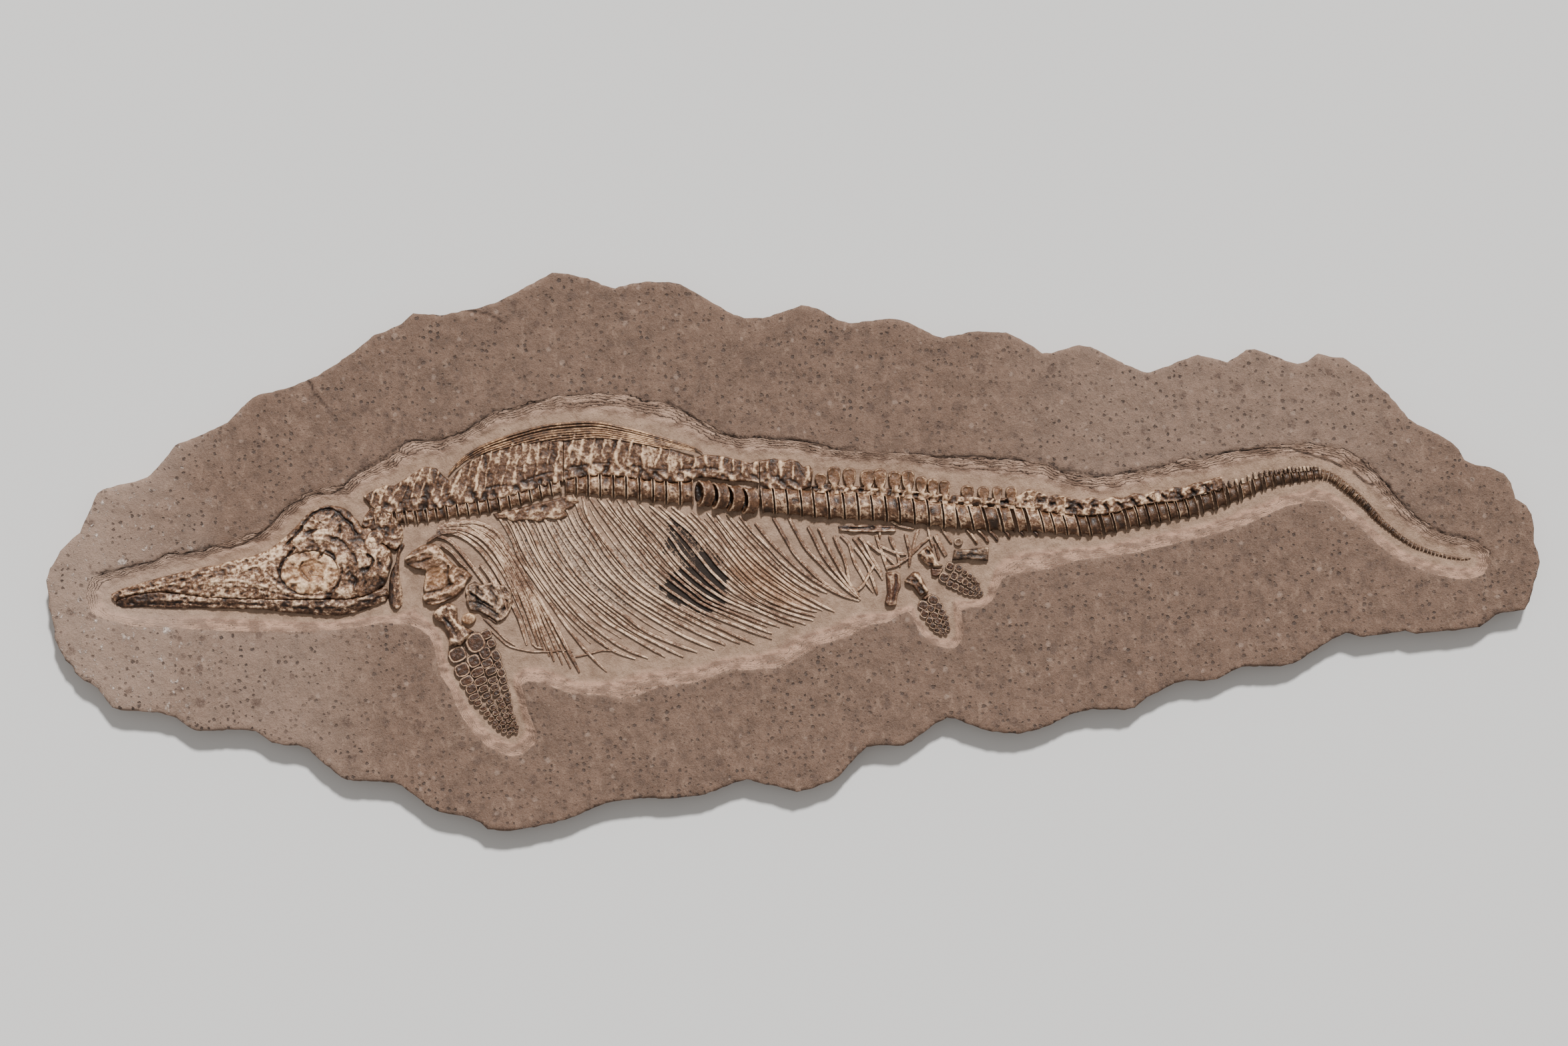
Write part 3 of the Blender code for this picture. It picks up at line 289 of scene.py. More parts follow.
def zones(x, y):
    """Where the floor is stained or crusted, for the slab's colours."""
    wander = 7.0 * rough(x, y, 24.0, 71) + 2.5 * bumps(x, y, 6.0, 75)
    black = [(1047, 818), (1072, 838), (1092, 872), (1088, 900), (1060, 924), (1018, 906), (990, 884),
             (1003, 856), (1044, 852)]
    brown = [(1005, 778), (1028, 784), (1052, 806), (1072, 834), (1058, 856), (1030, 852), (992, 832)]
    crust = [(764, 782), (800, 772), (862, 778), (900, 806), (948, 832), (985, 856), (1010, 900),
             (960, 914), (880, 902), (826, 884), (790, 850), (768, 812)]
    rust = [(1100, 828), (1150, 846), (1190, 870), (1228, 900), (1180, 912), (1120, 890), (1092, 860)]
    streak = [(1062, 778), (1092, 790), (1122, 816), (1150, 842), (1110, 846), (1078, 822)]
    marks = []
    for loop, soft in ((black, 11.0), (brown, 9.0), (crust, 10.0), (rust, 12.0), (streak, 8.0)):
        marks.append(ease(0.5 + (reach(x, y, loop) + wander) / (2.0 * soft)))
    return marks


def paint(mesh, name, red, green, blue, alpha):
    """Store four values per point as a colour that the material reads."""
    layer = mesh.attributes.new(name, "FLOAT_COLOR", "POINT")
    values = np.stack([red, green, blue, alpha], axis=1)
    layer.data.foreach_set("color", values.astype(np.float32).ravel())


def wire(tree, node, inputs):
    """Set or link the inputs of a node."""
    for key, value in inputs.items():
        if isinstance(value, bpy.types.NodeSocket):
            tree.links.new(value, node.inputs[key])
        else:
            node.inputs[key].default_value = value


def add(tree, kind, inputs=None, **settings):
    """A node with its settings, and its inputs set or linked."""
    made = tree.nodes.new(kind)
    for key, value in settings.items():
        setattr(made, key, value)
    wire(tree, made, inputs or {})
    return made


def calc(tree, operation, *values):
    """One sum of the shader's own."""
    return add(tree, "ShaderNodeMath", dict(enumerate(values)), operation=operation).outputs[0]


def times(tree, a, b):
    return calc(tree, "MULTIPLY", a, b)


def plus(tree, a, b):
    return calc(tree, "ADD", a, b)


def minus(tree, a, b):
    return calc(tree, "SUBTRACT", a, b)


def swayed(tree, value, noise, gain):
    """A value pushed up and down by a noise."""
    return plus(tree, value, times(tree, minus(tree, noise, 0.5), gain))


def between(tree, value, low, high, start=0.0, end=1.0):
    """The start value under low, the end value over high, and straight between them."""
    sockets = {"Value": value, "From Min": low, "From Max": high, "To Min": start, "To Max": end}
    return add(tree, "ShaderNodeMapRange", sockets).outputs["Result"]


def tint(tree, share, a, b):
    """Mix two colours by a share."""
    return add(tree, "ShaderNodeMix", {0: share, 6: a, 7: b}, data_type="RGBA").outputs[2]


def grain(tree, where, scale, detail=3.0, roughness=0.55, stretch=None, turn=0.0):
    """Noise at a scale given in bumps per metre."""
    if stretch:
        spread = {"Vector": where, "Rotation": (0.0, 0.0, turn), "Scale": stretch}
        where = add(tree, "ShaderNodeMapping", spread).outputs[0]
    sockets = {"Vector": where, "Scale": scale, "Detail": detail, "Roughness": roughness}
    return add(tree, "ShaderNodeTexNoise", sockets).outputs["Fac"]


def spots(tree, where, scale, share, low, high, warp):
    """Scattered spots: in a share of the cells, 1 inside a spot and 0 outside."""
    shift = add(tree, "ShaderNodeTexNoise", {"Vector": where, "Scale": scale * 2.5}).outputs["Color"]
    spread = add(tree, "ShaderNodeVectorMath", {0: shift, 3: warp / scale}, operation="SCALE").outputs[0]
    where = add(tree, "ShaderNodeVectorMath", {0: where, 1: spread}).outputs[0]
    cell = add(tree, "ShaderNodeTexVoronoi", {"Vector": where, "Scale": scale}, voronoi_dimensions="2D")
    pick = add(tree, "ShaderNodeSeparateColor", {"Color": cell.outputs["Color"]}).outputs
    chosen = calc(tree, "LESS_THAN", pick["Red"], share)
    size = calc(tree, "MULTIPLY_ADD", pick["Green"], high - low, low)
    edge = minus(tree, size, cell.outputs["Distance"])
    return times(tree, between(tree, edge, 0.0, 0.12), chosen)


def rgb(r, g, b):
    """A colour seen as 0 to 255 values on a screen, as the shader's linear colour."""
    values = []
    for v in (r, g, b):
        v = v / 255.0
        values.append(v / 12.92 if v <= 0.04045 else ((v + 0.055) / 1.055) ** 2.4)
    return (*values, 1.0)


def start_material(name):
    """A new material, its nodes, its surface and the place of each point on it."""
    mat = bpy.data.materials.new(name)
    mat.use_nodes = True
    tree = mat.node_tree
    where = add(tree, "ShaderNodeTexCoord").outputs["Object"]
    return mat, tree, tree.nodes["Principled BSDF"], where


def stored(tree, name):
    """The four values that are painted on the mesh under a name."""
    layer = add(tree, "ShaderNodeAttribute", attribute_name=name).outputs
    parts = add(tree, "ShaderNodeSeparateColor", {"Color": layer["Color"]}).outputs
    return parts["Red"], parts["Green"], parts["Blue"], layer["Alpha"]


def bumped(tree, height, depth, strength):
    """The surface's small relief: a depth in metres for each step of height."""
    sockets = {"Height": height, "Distance": depth, "Strength": strength}
    return add(tree, "ShaderNodeBump", sockets).outputs["Normal"]


LAYERS = ((0.04, 1.4), (0.13, 0.9), (0.21, 1.1), (0.30, 0.9), (0.40, 0.9))


def shale():
    """Fine grey-brown shale with dark specks, pale grit at the head end and a crusted, stained floor."""
    mat, tree, skin, where = start_material("shale")
    down, black, crust, behind = stored(tree, "zone")
    rust, light, head_end, crack_shadow = stored(tree, "tone")
    share = minus(tree, times(tree, down, 1.5), 0.5)
    broad = grain(tree, where, 7.0, 4.0, 0.6)
    cloud = grain(tree, where, 45.0, 5.0, 0.62)
    fine = grain(tree, where, 520.0, 4.0, 0.7)
    crumbs = grain(tree, where, 260.0, 4.0, 0.75)
    picks = grain(tree, where, 75.0, 5.0, 0.68, (1.0, 0.62, 1.0), 0.6)
    torn = grain(tree, where, 78.0, 5.0, 0.6, (0.5, 1.0, 1.0), 0.1)
    base = tint(tree, between(tree, broad, 0.3, 0.7), rgb(93, 68, 52), rgb(110, 83, 66))
    base = tint(tree, between(tree, cloud, 0.38, 0.62), base, rgb(122, 93, 75))
    base = tint(tree, times(tree, between(tree, picks, 0.56, 0.66), 0.5), base, rgb(154, 124, 104))
    base = tint(tree, times(tree, between(tree, picks, 0.45, 0.36), 0.5), base, rgb(74, 53, 41))

    # The torn layers of the trough's walls, paler on the side behind the animal, then its smooth floor.
    flake = between(tree, torn, 0.42, 0.58)
    front_wall = tint(tree, flake, rgb(128, 95, 76), rgb(196, 153, 127))
    back_wall = tint(tree, flake, rgb(142, 110, 90), rgb(208, 170, 145))
    wall = tint(tree, behind, front_wall, back_wall)
    base = tint(tree, times(tree, between(tree, share, 0.01, 0.05), 0.9), base, wall)
    floor_colour = tint(tree, between(tree, cloud, 0.35, 0.65), rgb(144, 114, 92), rgb(182, 149, 124))
    base = tint(tree, between(tree, share, 0.52, 0.74), base, floor_colour)
    base = tint(tree, light, base, rgb(186, 158, 140))

    # Specks, blotches, pale flecks and grit on the split upper side.
    plateau = between(tree, share, 0.10, 0.01)
    crowd = between(tree, grain(tree, where, 16.0, 3.0, 0.6), 0.40, 0.62)
    many = plus(tree, times(tree, crowd, 0.5), 0.5)
    speck = spots(tree, where, 105.0, 0.46, 0.10, 0.36, 0.55)
    speck = times(tree, speck, times(tree, plateau, many))
    base = tint(tree, speck, base, rgb(62, 44, 35))
    blotch = spots(tree, where, 36.0, 0.30, 0.10, 0.34, 0.25)
    blotch = times(tree, blotch, between(tree, grain(tree, where, 240.0, 4.0, 0.7), 0.34, 0.52))
    base = tint(tree, times(tree, blotch, times(tree, plateau, 0.75)), base, rgb(80, 57, 45))
    pale_fleck = spots(tree, where, 52.0, 0.16, 0.08, 0.26, 0.3)
    base = tint(tree, times(tree, pale_fleck, times(tree, plateau, 0.4)), base, rgb(176, 150, 134))
    grit = between(tree, grain(tree, where, 120.0, 4.0, 0.72, (1.0, 0.75, 1.0)), 0.60, 0.67)
    big_grit = spots(tree, where, 30.0, 0.22, 0.08, 0.26, 0.5)
    big_grit = times(tree, big_grit, between(tree, crumbs, 0.40, 0.50))
    grit = times(tree, times(tree, calc(tree, "MAXIMUM", grit, big_grit), head_end), plateau)
    base = tint(tree, grit, base, rgb(226, 208, 196))

    # Ochre crust with black dots in it, rust, and the black stain.
    lumps = tint(tree, between(tree, crumbs, 0.40, 0.56), rgb(112, 78, 60), rgb(255, 222, 194))
    dull = tint(tree, 0.35, lumps, rgb(150, 124, 106))
    lumps = tint(tree, between(tree, cloud, 0.40, 0.62), dull, lumps)
    base = tint(tree, times(tree, crust, 0.9), base, lumps)
    dots = spots(tree, where, 110.0, 0.16, 0.10, 0.34, 0.3)
    base = tint(tree, times(tree, dots, times(tree, crust, 0.85)), base, rgb(38, 33, 31))
    rusty = tint(tree, between(tree, crumbs, 0.40, 0.62), rgb(122, 82, 58), rgb(206, 162, 128))
    base = tint(tree, times(tree, rust, 0.85), base, rusty)
    sooty = swayed(tree, swayed(tree, times(tree, black, 1.5), crumbs, 2.4), cloud, 1.4)
    stain = times(tree, between(tree, sooty, 0.42, 0.7), 0.93)
    darker = tint(tree, 0.16, base, rgb(52, 38, 31))
    paler = tint(tree, 0.12, base, rgb(232, 214, 200))
    base = tint(tree, between(tree, fine, 0.3, 0.75), darker, paler)

    # The edges of the layers: a step down at each, with a dark line of painted shadow along it, stronger
    # behind the animal, and on the front side a bright line of painted highlight.
    warp = swayed(tree, times(tree, minus(tree, torn, 0.5), 0.42), crumbs, 0.05)
    layer = plus(tree, share, warp)
    steps = crack_and_shade = 0.0
    for level, drop in LAYERS:
        steps = plus(tree, steps, times(tree, between(tree, layer, level, level + 0.012), drop))
        above = between(tree, layer, level - 0.016, level)
        below = between(tree, layer, level + 0.036, level + 0.014)
        line = times(tree, times(tree, above, below), min(1.0, 0.8 * drop))
        crack_and_shade = calc(tree, "MAXIMUM", crack_and_shade, line)
    # Painted shadow: a dark line under each ledge, broken up by a noise, stronger on the side behind the
    # animal.
    painted_ledge_shadow = times(tree, crack_and_shade, between(tree, grain(tree, where, 38.0, 3.0, 0.6), 0.38, 0.48))
    painted_ledge_shadow = times(tree, painted_ledge_shadow, plus(tree, times(tree, behind, 0.4), 0.6))
    # Painted highlight: a bright line along the ledges on the front side, which face the light.
    rim = times(tree, crack_and_shade, times(tree, minus(tree, 1.0, behind), 0.45))
    base = tint(tree, rim, base, rgb(246, 206, 178))
    # Both shadows are painted nearly black: the ledge lines and the shadow in the slab's cracks.
    for gap in (times(tree, painted_ledge_shadow, 0.92), times(tree, crack_shadow, 0.85)):
        base = tint(tree, gap, base, rgb(34, 23, 17))
    base = tint(tree, stain, base, rgb(12, 10, 11))

    height = plus(tree, times(tree, picks, 1.5), times(tree, cloud, 1.5))
    height = plus(tree, height, times(tree, fine, 0.6))
    height = plus(tree, height, times(tree, times(tree, crumbs, 3.0), crust))
    height = minus(tree, height, times(tree, speck, 0.6))
    height = plus(tree, height, times(tree, grit, 0.5))
    height = minus(tree, height, times(tree, steps, 2.2))
    wire(tree, skin, {"Base Color": base, "Roughness": 0.82, "Specular IOR Level": 0.35,
                      "Normal": bumped(tree, height, 0.0021, 1.0)})
    return mat


def ribbon(x, y, line):
    """Distance to an open plan line in millimetres."""
    best = np.full(np.shape(x), np.inf)
    for start, end in zip(line, line[1:]):
        best = np.minimum(best, off_stretch(x, y, start, end))
    return np.sqrt(best)


def cut(x, y, line, width):
    """1 on a drawn line, fading out a width away on both sides."""
    return bell(ribbon(x, y, line), 0.0, width)


def strokes(x, y, drawn):
    """Sum of drawn ridges and grooves, each a line with a width and a height."""
    return sum(high * cut(x, y, line, width) for line, width, high in drawn)


# Cracks in the slab's upper side, most along the trough's back edge; each is cut in a little and painted
# nearly black as its shadow.
SHADOWED_CRACKS = [
    [(138, 861), (163, 855), (195, 850), (231, 842), (244, 833), (253, 829), (273, 832), (298, 824.5),
     (318, 819), (343, 822), (363, 817), (382, 805), (404, 788), (420, 770), (446, 750), (475, 739),
     (494, 742), (510, 732), (533, 713)],
    [(528, 712), (553, 700), (582, 681), (610, 661), (648, 661), (693, 650), (710, 636), (743, 615),
     (776, 613), (792, 605), (817, 599)],
    [(999, 603), (1019, 613), (1040, 626), (1061, 642), (1081, 650), (1100, 656), (1110, 656), (1150, 654),
     (1165, 658), (1215, 662), (1230, 668), (1240, 673), (1280, 672)],
    [(1355, 673), (1365, 680), (1385, 679), (1400, 684), (1440, 684), (1470, 683), (1485, 687), (1500, 690),
     (1515, 687), (1530, 690), (1536, 697)],
    [(1565, 690), (1580, 697), (1590, 704), (1620, 708), (1650, 713), (1680, 708), (1700, 706), (1720, 700),
     (1745, 700)], [(1590, 705), (1600, 715)], [(1752, 692), (1765, 693), (1775, 700)],
    [(1795, 686), (1830, 680), (1862, 674), (1900, 672), (1935, 672), (1962, 680), (1990, 690),
     (2012, 700)], [(2030, 708), (2045, 722), (2060, 727)],
    [(2040, 692), (2062, 708), (2078, 725), (2090, 742), (2105, 757), (2118, 772), (2130, 780), (2140, 790),
     (2160, 797), (2180, 803), (2200, 805), (2215, 812)], [(462, 568), (470, 590), (490, 610)],
    [(700, 465), (730, 470), (760, 485)],
]


def shadowed_crack_share(x, y, width):
    """1 on an open crack in the slab's upper side, 0 away from it."""
    px = x + 1.6 * bumps(x, y, 9.0, 93)
    py = y + 1.6 * bumps(x, y, 9.0, 95)
    return np.max([cut(px, py, line, width) for line in SHADOWED_CRACKS], axis=0)


def along(x, line, column=1):
    """A value read off a drawn line at plan x."""
    return np.interp(x, [p[0] for p in line], [p[column] for p in line])


SIDE_LEVELS = ((28.5, 0.3), (23.0, 0.7), (16.0, 0.4), (9.0, 1.1), (3.0, 0.9), (0.0, 0.8))
MIDLINE = [
    (170, 895), (560, 780), (850, 720), (1130, 745), (1600, 785), (1800, 755), (1960, 712), (2200, 838),
]


def build_slab():
    """The split top with its trough, finer there, then the broken sides and a flat underside."""
    outline = chipped(SLAB_EDGE, 5.0, 0.8, 3)
    bm = sheet_of(outline, 6.0)
    near = trough_share(*plan_xy(bm.verts)) > -0.12
    bm.verts.index_update()
    fine = [e for e in bm.edges if all(near[v.index] for v in e.verts)]
    bmesh.ops.subdivide_edges(bm, edges=fine, cuts=1, use_grid_fill=True)
    cracked = shadowed_crack_share(*plan_xy(bm.verts), 3.4) > 0.3
    bm.verts.index_update()
    fine = [e for e in bm.edges if any(cracked[v.index] for v in e.verts)]
    bmesh.ops.subdivide_edges(bm, edges=fine, cuts=1, use_grid_fill=True)
    x, y = plan_xy(bm.verts)
    edge = np.maximum(reach(x, y, outline), 0.0)
    for vert, z in zip(bm.verts, slab_height(x, y, edge) - 1.1 * shadowed_crack_share(x, y, 1.3)):
        vert.co.z = z * MM
    rim = [e for e in bm.edges if e.is_boundary]
    probe = 1.5
    for level, inset in SIDE_LEVELS:
        made = bmesh.ops.extrude_edge_only(bm, edges=rim)["geom"]
        rim = only(made, bmesh.types.BMEdge)
        low = only(made, bmesh.types.BMVert)
        x, y = plan_xy(low)
        gx = reach(x + probe, y, outline) - reach(x - probe, y, outline)
        gy = reach(x, y + probe, outline) - reach(x, y - probe, outline)
        size = np.maximum(np.hypot(gx, gy), 1e-6)
        step = inset + 0.7 * bumps(x + 9.0 * level, y, 18.0, 81) + 0.5 * bumps(x, y + 7.0 * level, 7.0, 83)
        for vert, px, py in zip(low, x + gx / size * step, y + gy / size * step):
            vert.co = plan(px, py, level)
    bmesh.ops.edgeloop_fill(bm, edges=rim)
    x, y = plan_xy(bm.verts)
    black, brown, crust, rust, streak = zones(x, y)
    sides = np.array([v.co.z for v in bm.verts]) < 0.023
    share = np.where(sides, -0.5, trough_share(x, y))
    behind = ease((along(x, MIDLINE) - y + 10.0) / 20.0)
    head_end = ease((380.0 - x + 50.0 * bumps(x, y, 60.0, 91)) / 240.0)
    back_patch = 0.20 * rise(x, 1400.0, 300.0) * (1.0 - rise(x, 1980.0, 220.0)) * behind
    front_patch = 0.28 * (1.0 - rise(x, 420.0, 200.0)) * (1.0 - behind)
    light = np.maximum(0.5 * head_end, (back_patch + front_patch) * (share < 0.02))
    # Painted shadow in the cracks.
    crack_shadow = np.where(sides, 0.0, shadowed_crack_share(x, y, 1.5))
    slab = finish_piece(bm, "slab_matrix", shale(), ["slab"])
    down = np.clip((share + 0.5) / 1.5, 0.0, 1.0)
    paint(slab.data, "zone", down, np.maximum(black, 0.5 * brown), crust, behind)
    paint(slab.data, "tone", np.maximum(rust, 0.6 * streak), light, head_end, crack_shadow)


build_slab()

# Skull. A long crushed skull in side view: a snout of narrow overlapping bones, dark towards the tip, and
# a buckled cream and brown cheek behind. It is worked free of the shale by hand and has a clear coat.
def bone(name, varnish_rough=0.36, dark=(42, 27, 19), mid=(106, 74, 53), pale=(238, 200, 165), grainy=0.7):
    """Fossil bone under a clear coat: mottled brown, pale on worn ridges and where light is painted on,
    nearly black in the cracks and where shade is painted in.
    """
    mat, tree, skin, where = start_material(name)
    pale_wear_and_light, crack_and_shade, ochre, _ = stored(tree, "bone")
    mottle = grain(tree, where, 125.0, 5.0, 0.64)
    fleck = grain(tree, where, 250.0, 4.0, 0.72)
    share = swayed(tree, swayed(tree, pale_wear_and_light, mottle, 2.2 * grainy), fleck, 1.4 * grainy)
    colour = tint(tree, between(tree, share, 0.0, 0.5), rgb(*dark), rgb(*mid))
    colour = tint(tree, between(tree, share, 0.5, 1.0), colour, rgb(*pale))
    colour = tint(tree, times(tree, ochre, 0.6), colour, rgb(166, 118, 78))
    # Painted shade: the cracks are darkened, and with them the shade painted into hollows, joints, lower
    # flanks and the foot of each bone.
    colour = tint(tree, times(tree, crack_and_shade, 0.9), colour, rgb(30, 17, 10))
    gloss = between(tree, fleck, 0.3, 0.7, varnish_rough - 0.08, varnish_rough + 0.14)
    height = plus(tree, times(tree, mottle, 1.4), times(tree, fleck, 0.9))
    wire(tree, skin, {
        "Base Color": colour, "Roughness": gloss, "Specular IOR Level": 0.42, "Coat Weight": 0.08,
        "Coat Roughness": 0.22, "Normal": bumped(tree, height, 0.0012, 0.8)})
    return mat


def gather(parts):
    """Several closed forms as one mesh."""
    whole = bmesh.new()
    for part in parts:
        mesh = bpy.data.meshes.new("part")
        part.to_mesh(mesh)
        part.free()
        whole.from_mesh(mesh)
        bpy.data.meshes.remove(mesh)
    return whole


def rounded(edge, width):
    """The rise of a rounded shoulder, from 0 at the edge to 1 a width inside it."""
    return np.sqrt(np.clip(1.0 - (1.0 - np.clip(edge / width, 0.0, 1.0)) ** 2, 0.0, 1.0))


def cleft_shade(detail, gain, start):
    """How dark a crack, with the painted shade in a hollow, is where the relief sinks below a start."""
    return np.clip(-gain * detail - start, 0.0, 1.0)


WALL_SEAMS = (844.5, 1138.2)


def relief_form(outline, height, step, round_off):
    """A bone worked in relief: height gives, for plan points, height, paleness, darkness of cracks and
    painted shade, and ochre.
    """
    bm = sheet_of(outline, step)
    x, y = plan_xy(bm.verts)
    edge = np.maximum(reach(x, y, outline), 0.0)
    # Two neighbouring walls of spines run on into each other without a rounded end.
    for seam in WALL_SEAMS:
        if min(abs(p[0] - seam) for p in outline) < 1.5:
            edge = np.maximum(edge, 5.0 - 1.2 * np.abs(x - seam))
    high, pale, deep, *rest = height(x, y)
    ochre = rest[0] if rest else np.zeros_like(x)
    # Painted shade round the foot of the bone, darker towards its outline.
    deep = np.maximum(deep, 0.5 * (1.0 - np.clip(edge / 1.6, 0.0, 1.0)))
    tone = bm.verts.layers.float_color.new("bone")
    heights = BED + 0.1 + (high - BED - 0.1) * rounded(edge, round_off)
    values = np.clip(np.stack([pale, deep, ochre], axis=1), 0.0, 1.0)
    for vert, z, (p, d, o) in zip(bm.verts, heights, values):
        vert.co.z = z * MM
        vert[tone] = (p, d, o, 1.0)
    made = bmesh.ops.extrude_edge_only(bm, edges=[e for e in bm.edges if e.is_boundary])["geom"]
    # The sides down to the bed are painted dark as shade.
    for vert in only(made, bmesh.types.BMVert):
        vert.co.z = (BED - 0.5) * MM
        vert[tone] = (0.2, 0.85, 0.0, 1.0)
    bmesh.ops.edgeloop_fill(bm, edges=only(made, bmesh.types.BMEdge))
    return bm


def relief(name, outline, height, step, round_off, mat, nodes):
    """A bone worked in relief as its own piece."""
    finish_piece(relief_form(outline, height, step, round_off), name, mat, nodes)


SKULL_TOP = [
    (165.5, 890.7), (181, 882.8), (199.7, 877.5), (218, 871.6), (234, 867), (249.7, 863), (268, 858.4),
    (286.6, 853.8), (310, 849), (326, 846.6), (339, 842), (352, 839.3), (365.5, 836), (378.7, 832.8),
    (391.8, 828), (398, 825.5), (411, 817.6), (424.5, 805.8), (435, 796.6), (443, 788.7), (450.8, 778.8),
    (458.7, 771.6), (466.6, 765.7), (477, 761), (487.6, 758), (498, 757.5), (508.7, 759.5), (516.6, 762.4),
    (524.5, 767.6), (529.7, 775.5), (536.3, 780.8), (539.6, 787.4), (544, 792),
]
SKULL_BACK = [
    (552, 790), (558, 796), (566, 812), (578, 818), (586, 826), (588, 842), (584, 856), (580, 868),
]
MOUTH = [
    (575, 877.5), (566, 885), (544, 895), (520, 899), (485, 898.8), (441, 899.2), (400, 899.2),
    (340, 897.4), (300, 895.2), (280, 892.3), (260, 889.4), (237, 887.4), (218, 889.9), (198, 893.2),
    (181, 898), (172, 902), (166, 898),
]
SKULL_RISE = [
    (165, 5.5), (200, 9), (260, 12), (330, 14), (400, 17), (460, 19.5), (500, 20), (540, 18), (570, 14),
    (590, 11),
]
EYE_X = 466.0
EYE_Y = 857.5
SKULL_DRAWN = [
    ([(431, 815), (443, 803), (450.8, 794), (458.7, 782), (469, 770), (482, 764), (498, 763), (507, 768),
     (516.6, 778), (527, 786), (531, 795), (535.7, 800.5)], 1.9, -4.2),
    ([(462, 798), (476, 794), (490, 791)], 1.5, -2.4), ([(464, 802), (480, 799), (498, 801)], 2.2, 1.8),
    ([(442, 822), (433.7, 832), (423, 844.6), (420, 854.5), (420, 865), (424.5, 873),
     (431, 878)], 2.0, -4.4),
    ([(395.5, 862), (411, 873), (424.5, 884.7), (444, 892.6), (466, 896), (485, 896)], 1.7, 2.2),
    ([(400, 857), (412, 868), (426, 880), (446, 888), (470, 891.5), (497, 890)], 1.4, -2.2),
    ([(512.6, 846), (514, 856), (511, 866), (507.4, 877), (500, 884)], 1.7, -3.4),
    ([(371, 852.5), (392, 845), (411, 838)], 1.5, 2.2), ([(371, 856), (393, 849)], 1.2, -2.0),
    ([(318, 873), (352, 870), (381, 874), (402, 880)], 1.6, 2.4),
    ([(296, 868), (330, 862), (362, 860)], 1.3, -2.2),
    ([(262, 872), (300, 862), (340, 854), (366, 849)], 1.2, -1.8),
    ([(190, 884), (230, 873), (280, 861), (330, 851)], 1.2, -1.8),
    ([(180, 894), (205, 887), (238, 881)], 1.2, 2.6),
    ([(178, 890), (210, 882), (250, 874), (292, 868)], 1.3, -2.4),
    ([(330, 880), (372, 880), (410, 888), (440, 896)], 1.2, -2.0),
    ([(482, 831), (489, 825.5), (501, 832), (503, 838)], 1.6, -3.4),
    ([(552, 832), (558, 836), (560, 841), (557, 848), (551, 853)], 2.0, -5.0),
    ([(545, 862), (549, 872), (546, 880)], 1.4, -2.6), ([(566, 862), (572, 868), (575, 874)], 1.4, -2.4),
    ([(510, 789), (510.5, 797)], 2.1, -3.6), ([(520, 812), (536, 822), (548, 828)], 1.8, 2.2),
    ([(506, 806), (520, 818), (532, 834), (538, 852)], 1.8, -2.4),
    ([(438, 812), (462, 806), (486, 808), (508, 816)], 2.4, 2.6),
    ([(448, 786), (466, 790), (486, 778), (500, 772)], 2.2, 2.0),
    ([(470, 776), (484, 786), (498, 792)], 1.3, -2.2), ([(406, 826), (424, 822), (440, 824)], 1.6, 2.0),
    ([(398, 838), (414, 846), (419, 858)], 1.3, -2.2), ([(388, 858), (402, 866)], 1.2, -1.8),
    ([(524, 856), (534, 870), (531, 884)], 1.5, -2.2), ([(540, 846), (530, 860), (520, 868)], 1.8, 1.8),
    ([(556, 800), (546, 812), (548, 824)], 1.5, -2.4), ([(572, 824), (566, 834), (569, 846)], 1.5, -2.6),
]
TOOTH_ROWS = ((300, 318, 884.5, 4), (339, 360, 887.5, 5), (371, 389, 886.0, 4), (388, 414, 890.5, 6))
TEETH = []
for start, end, y, count in TOOTH_ROWS:
    for k in range(count):
        x = start + (end - start) * k / (count - 1)
        TEETH.append(([(x, y - 4.0), (x + 2.6, y + 4.2)], 0.9, 2.4 if k % 2 else -2.2))


def skull_height(x, y):
    top_y = along(x, SKULL_TOP)
    mouth_y = along(x, MOUTH[::-1])
    across = np.clip((y - top_y) / np.maximum(mouth_y - top_y, 4.0), 0.0, 1.0)
    dome = np.sqrt(np.clip(1.0 - (1.45 * across - 0.72) ** 2, 0.05, 1.0))
    snout = 1.0 - rise(x, 380.0, 90.0)
    u = x * 0.978 - (y - 890.0) * 0.21
    v = y * 0.978 + (x - 170.0) * 0.21
    fibres = rough(u / 2.0, v, 4.0, 103, 4)
    crinkle = rough(x, y, 15.0, 111, 4)
    creases = 1.0 - np.abs(rough(x, y, 19.0, 121, 4)) - 0.72
    chips = creased(u * 0.45, v, 6.5, 127, 3)
    detail = snout * (1.1 * fibres + 1.5 * chips + 1.1 * rough(x, y, 4.8, 133, 2))
    detail = detail + (1.0 - snout) * (1.7 * crinkle + 2.6 * creases + 0.9 * rough(x, y, 6.0, 129, 2))
    drawn = strokes(x, y, SKULL_DRAWN + TEETH) * (0.5 + 0.5 * rise(x, 370.0, 60.0))
    socket = ((x - EYE_X) / 43.0) ** 2 + ((y - EYE_Y) / 33.0) ** 2
    in_socket = ease((1.0 - socket) / 0.10)
    base = BED + along(x, SKULL_RISE) * dome
    high = base * (1.0 - in_socket) + (BED + 13.5) * in_socket
    high = high + (detail + drawn) * (1.0 - 0.8 * in_socket)
    # Cracks and hollows are darkened as painted shade, and the eye socket a little more.
    deep = cleft_shade(detail + drawn, 0.30, 0.30) + 0.15 * in_socket
    tip = ease((330.0 - x) / 150.0)
    pale_wear_and_light = 0.17 * (detail + drawn) + 0.14 * rough(x, y, 7.0, 137, 2) + 0.08 * bumps(x, y, 21.0, 131)
    pale = 0.53 + pale_wear_and_light - 0.18 * tip - 0.08 * rise(x, 500.0, 40.0)
    return high, pale, deep


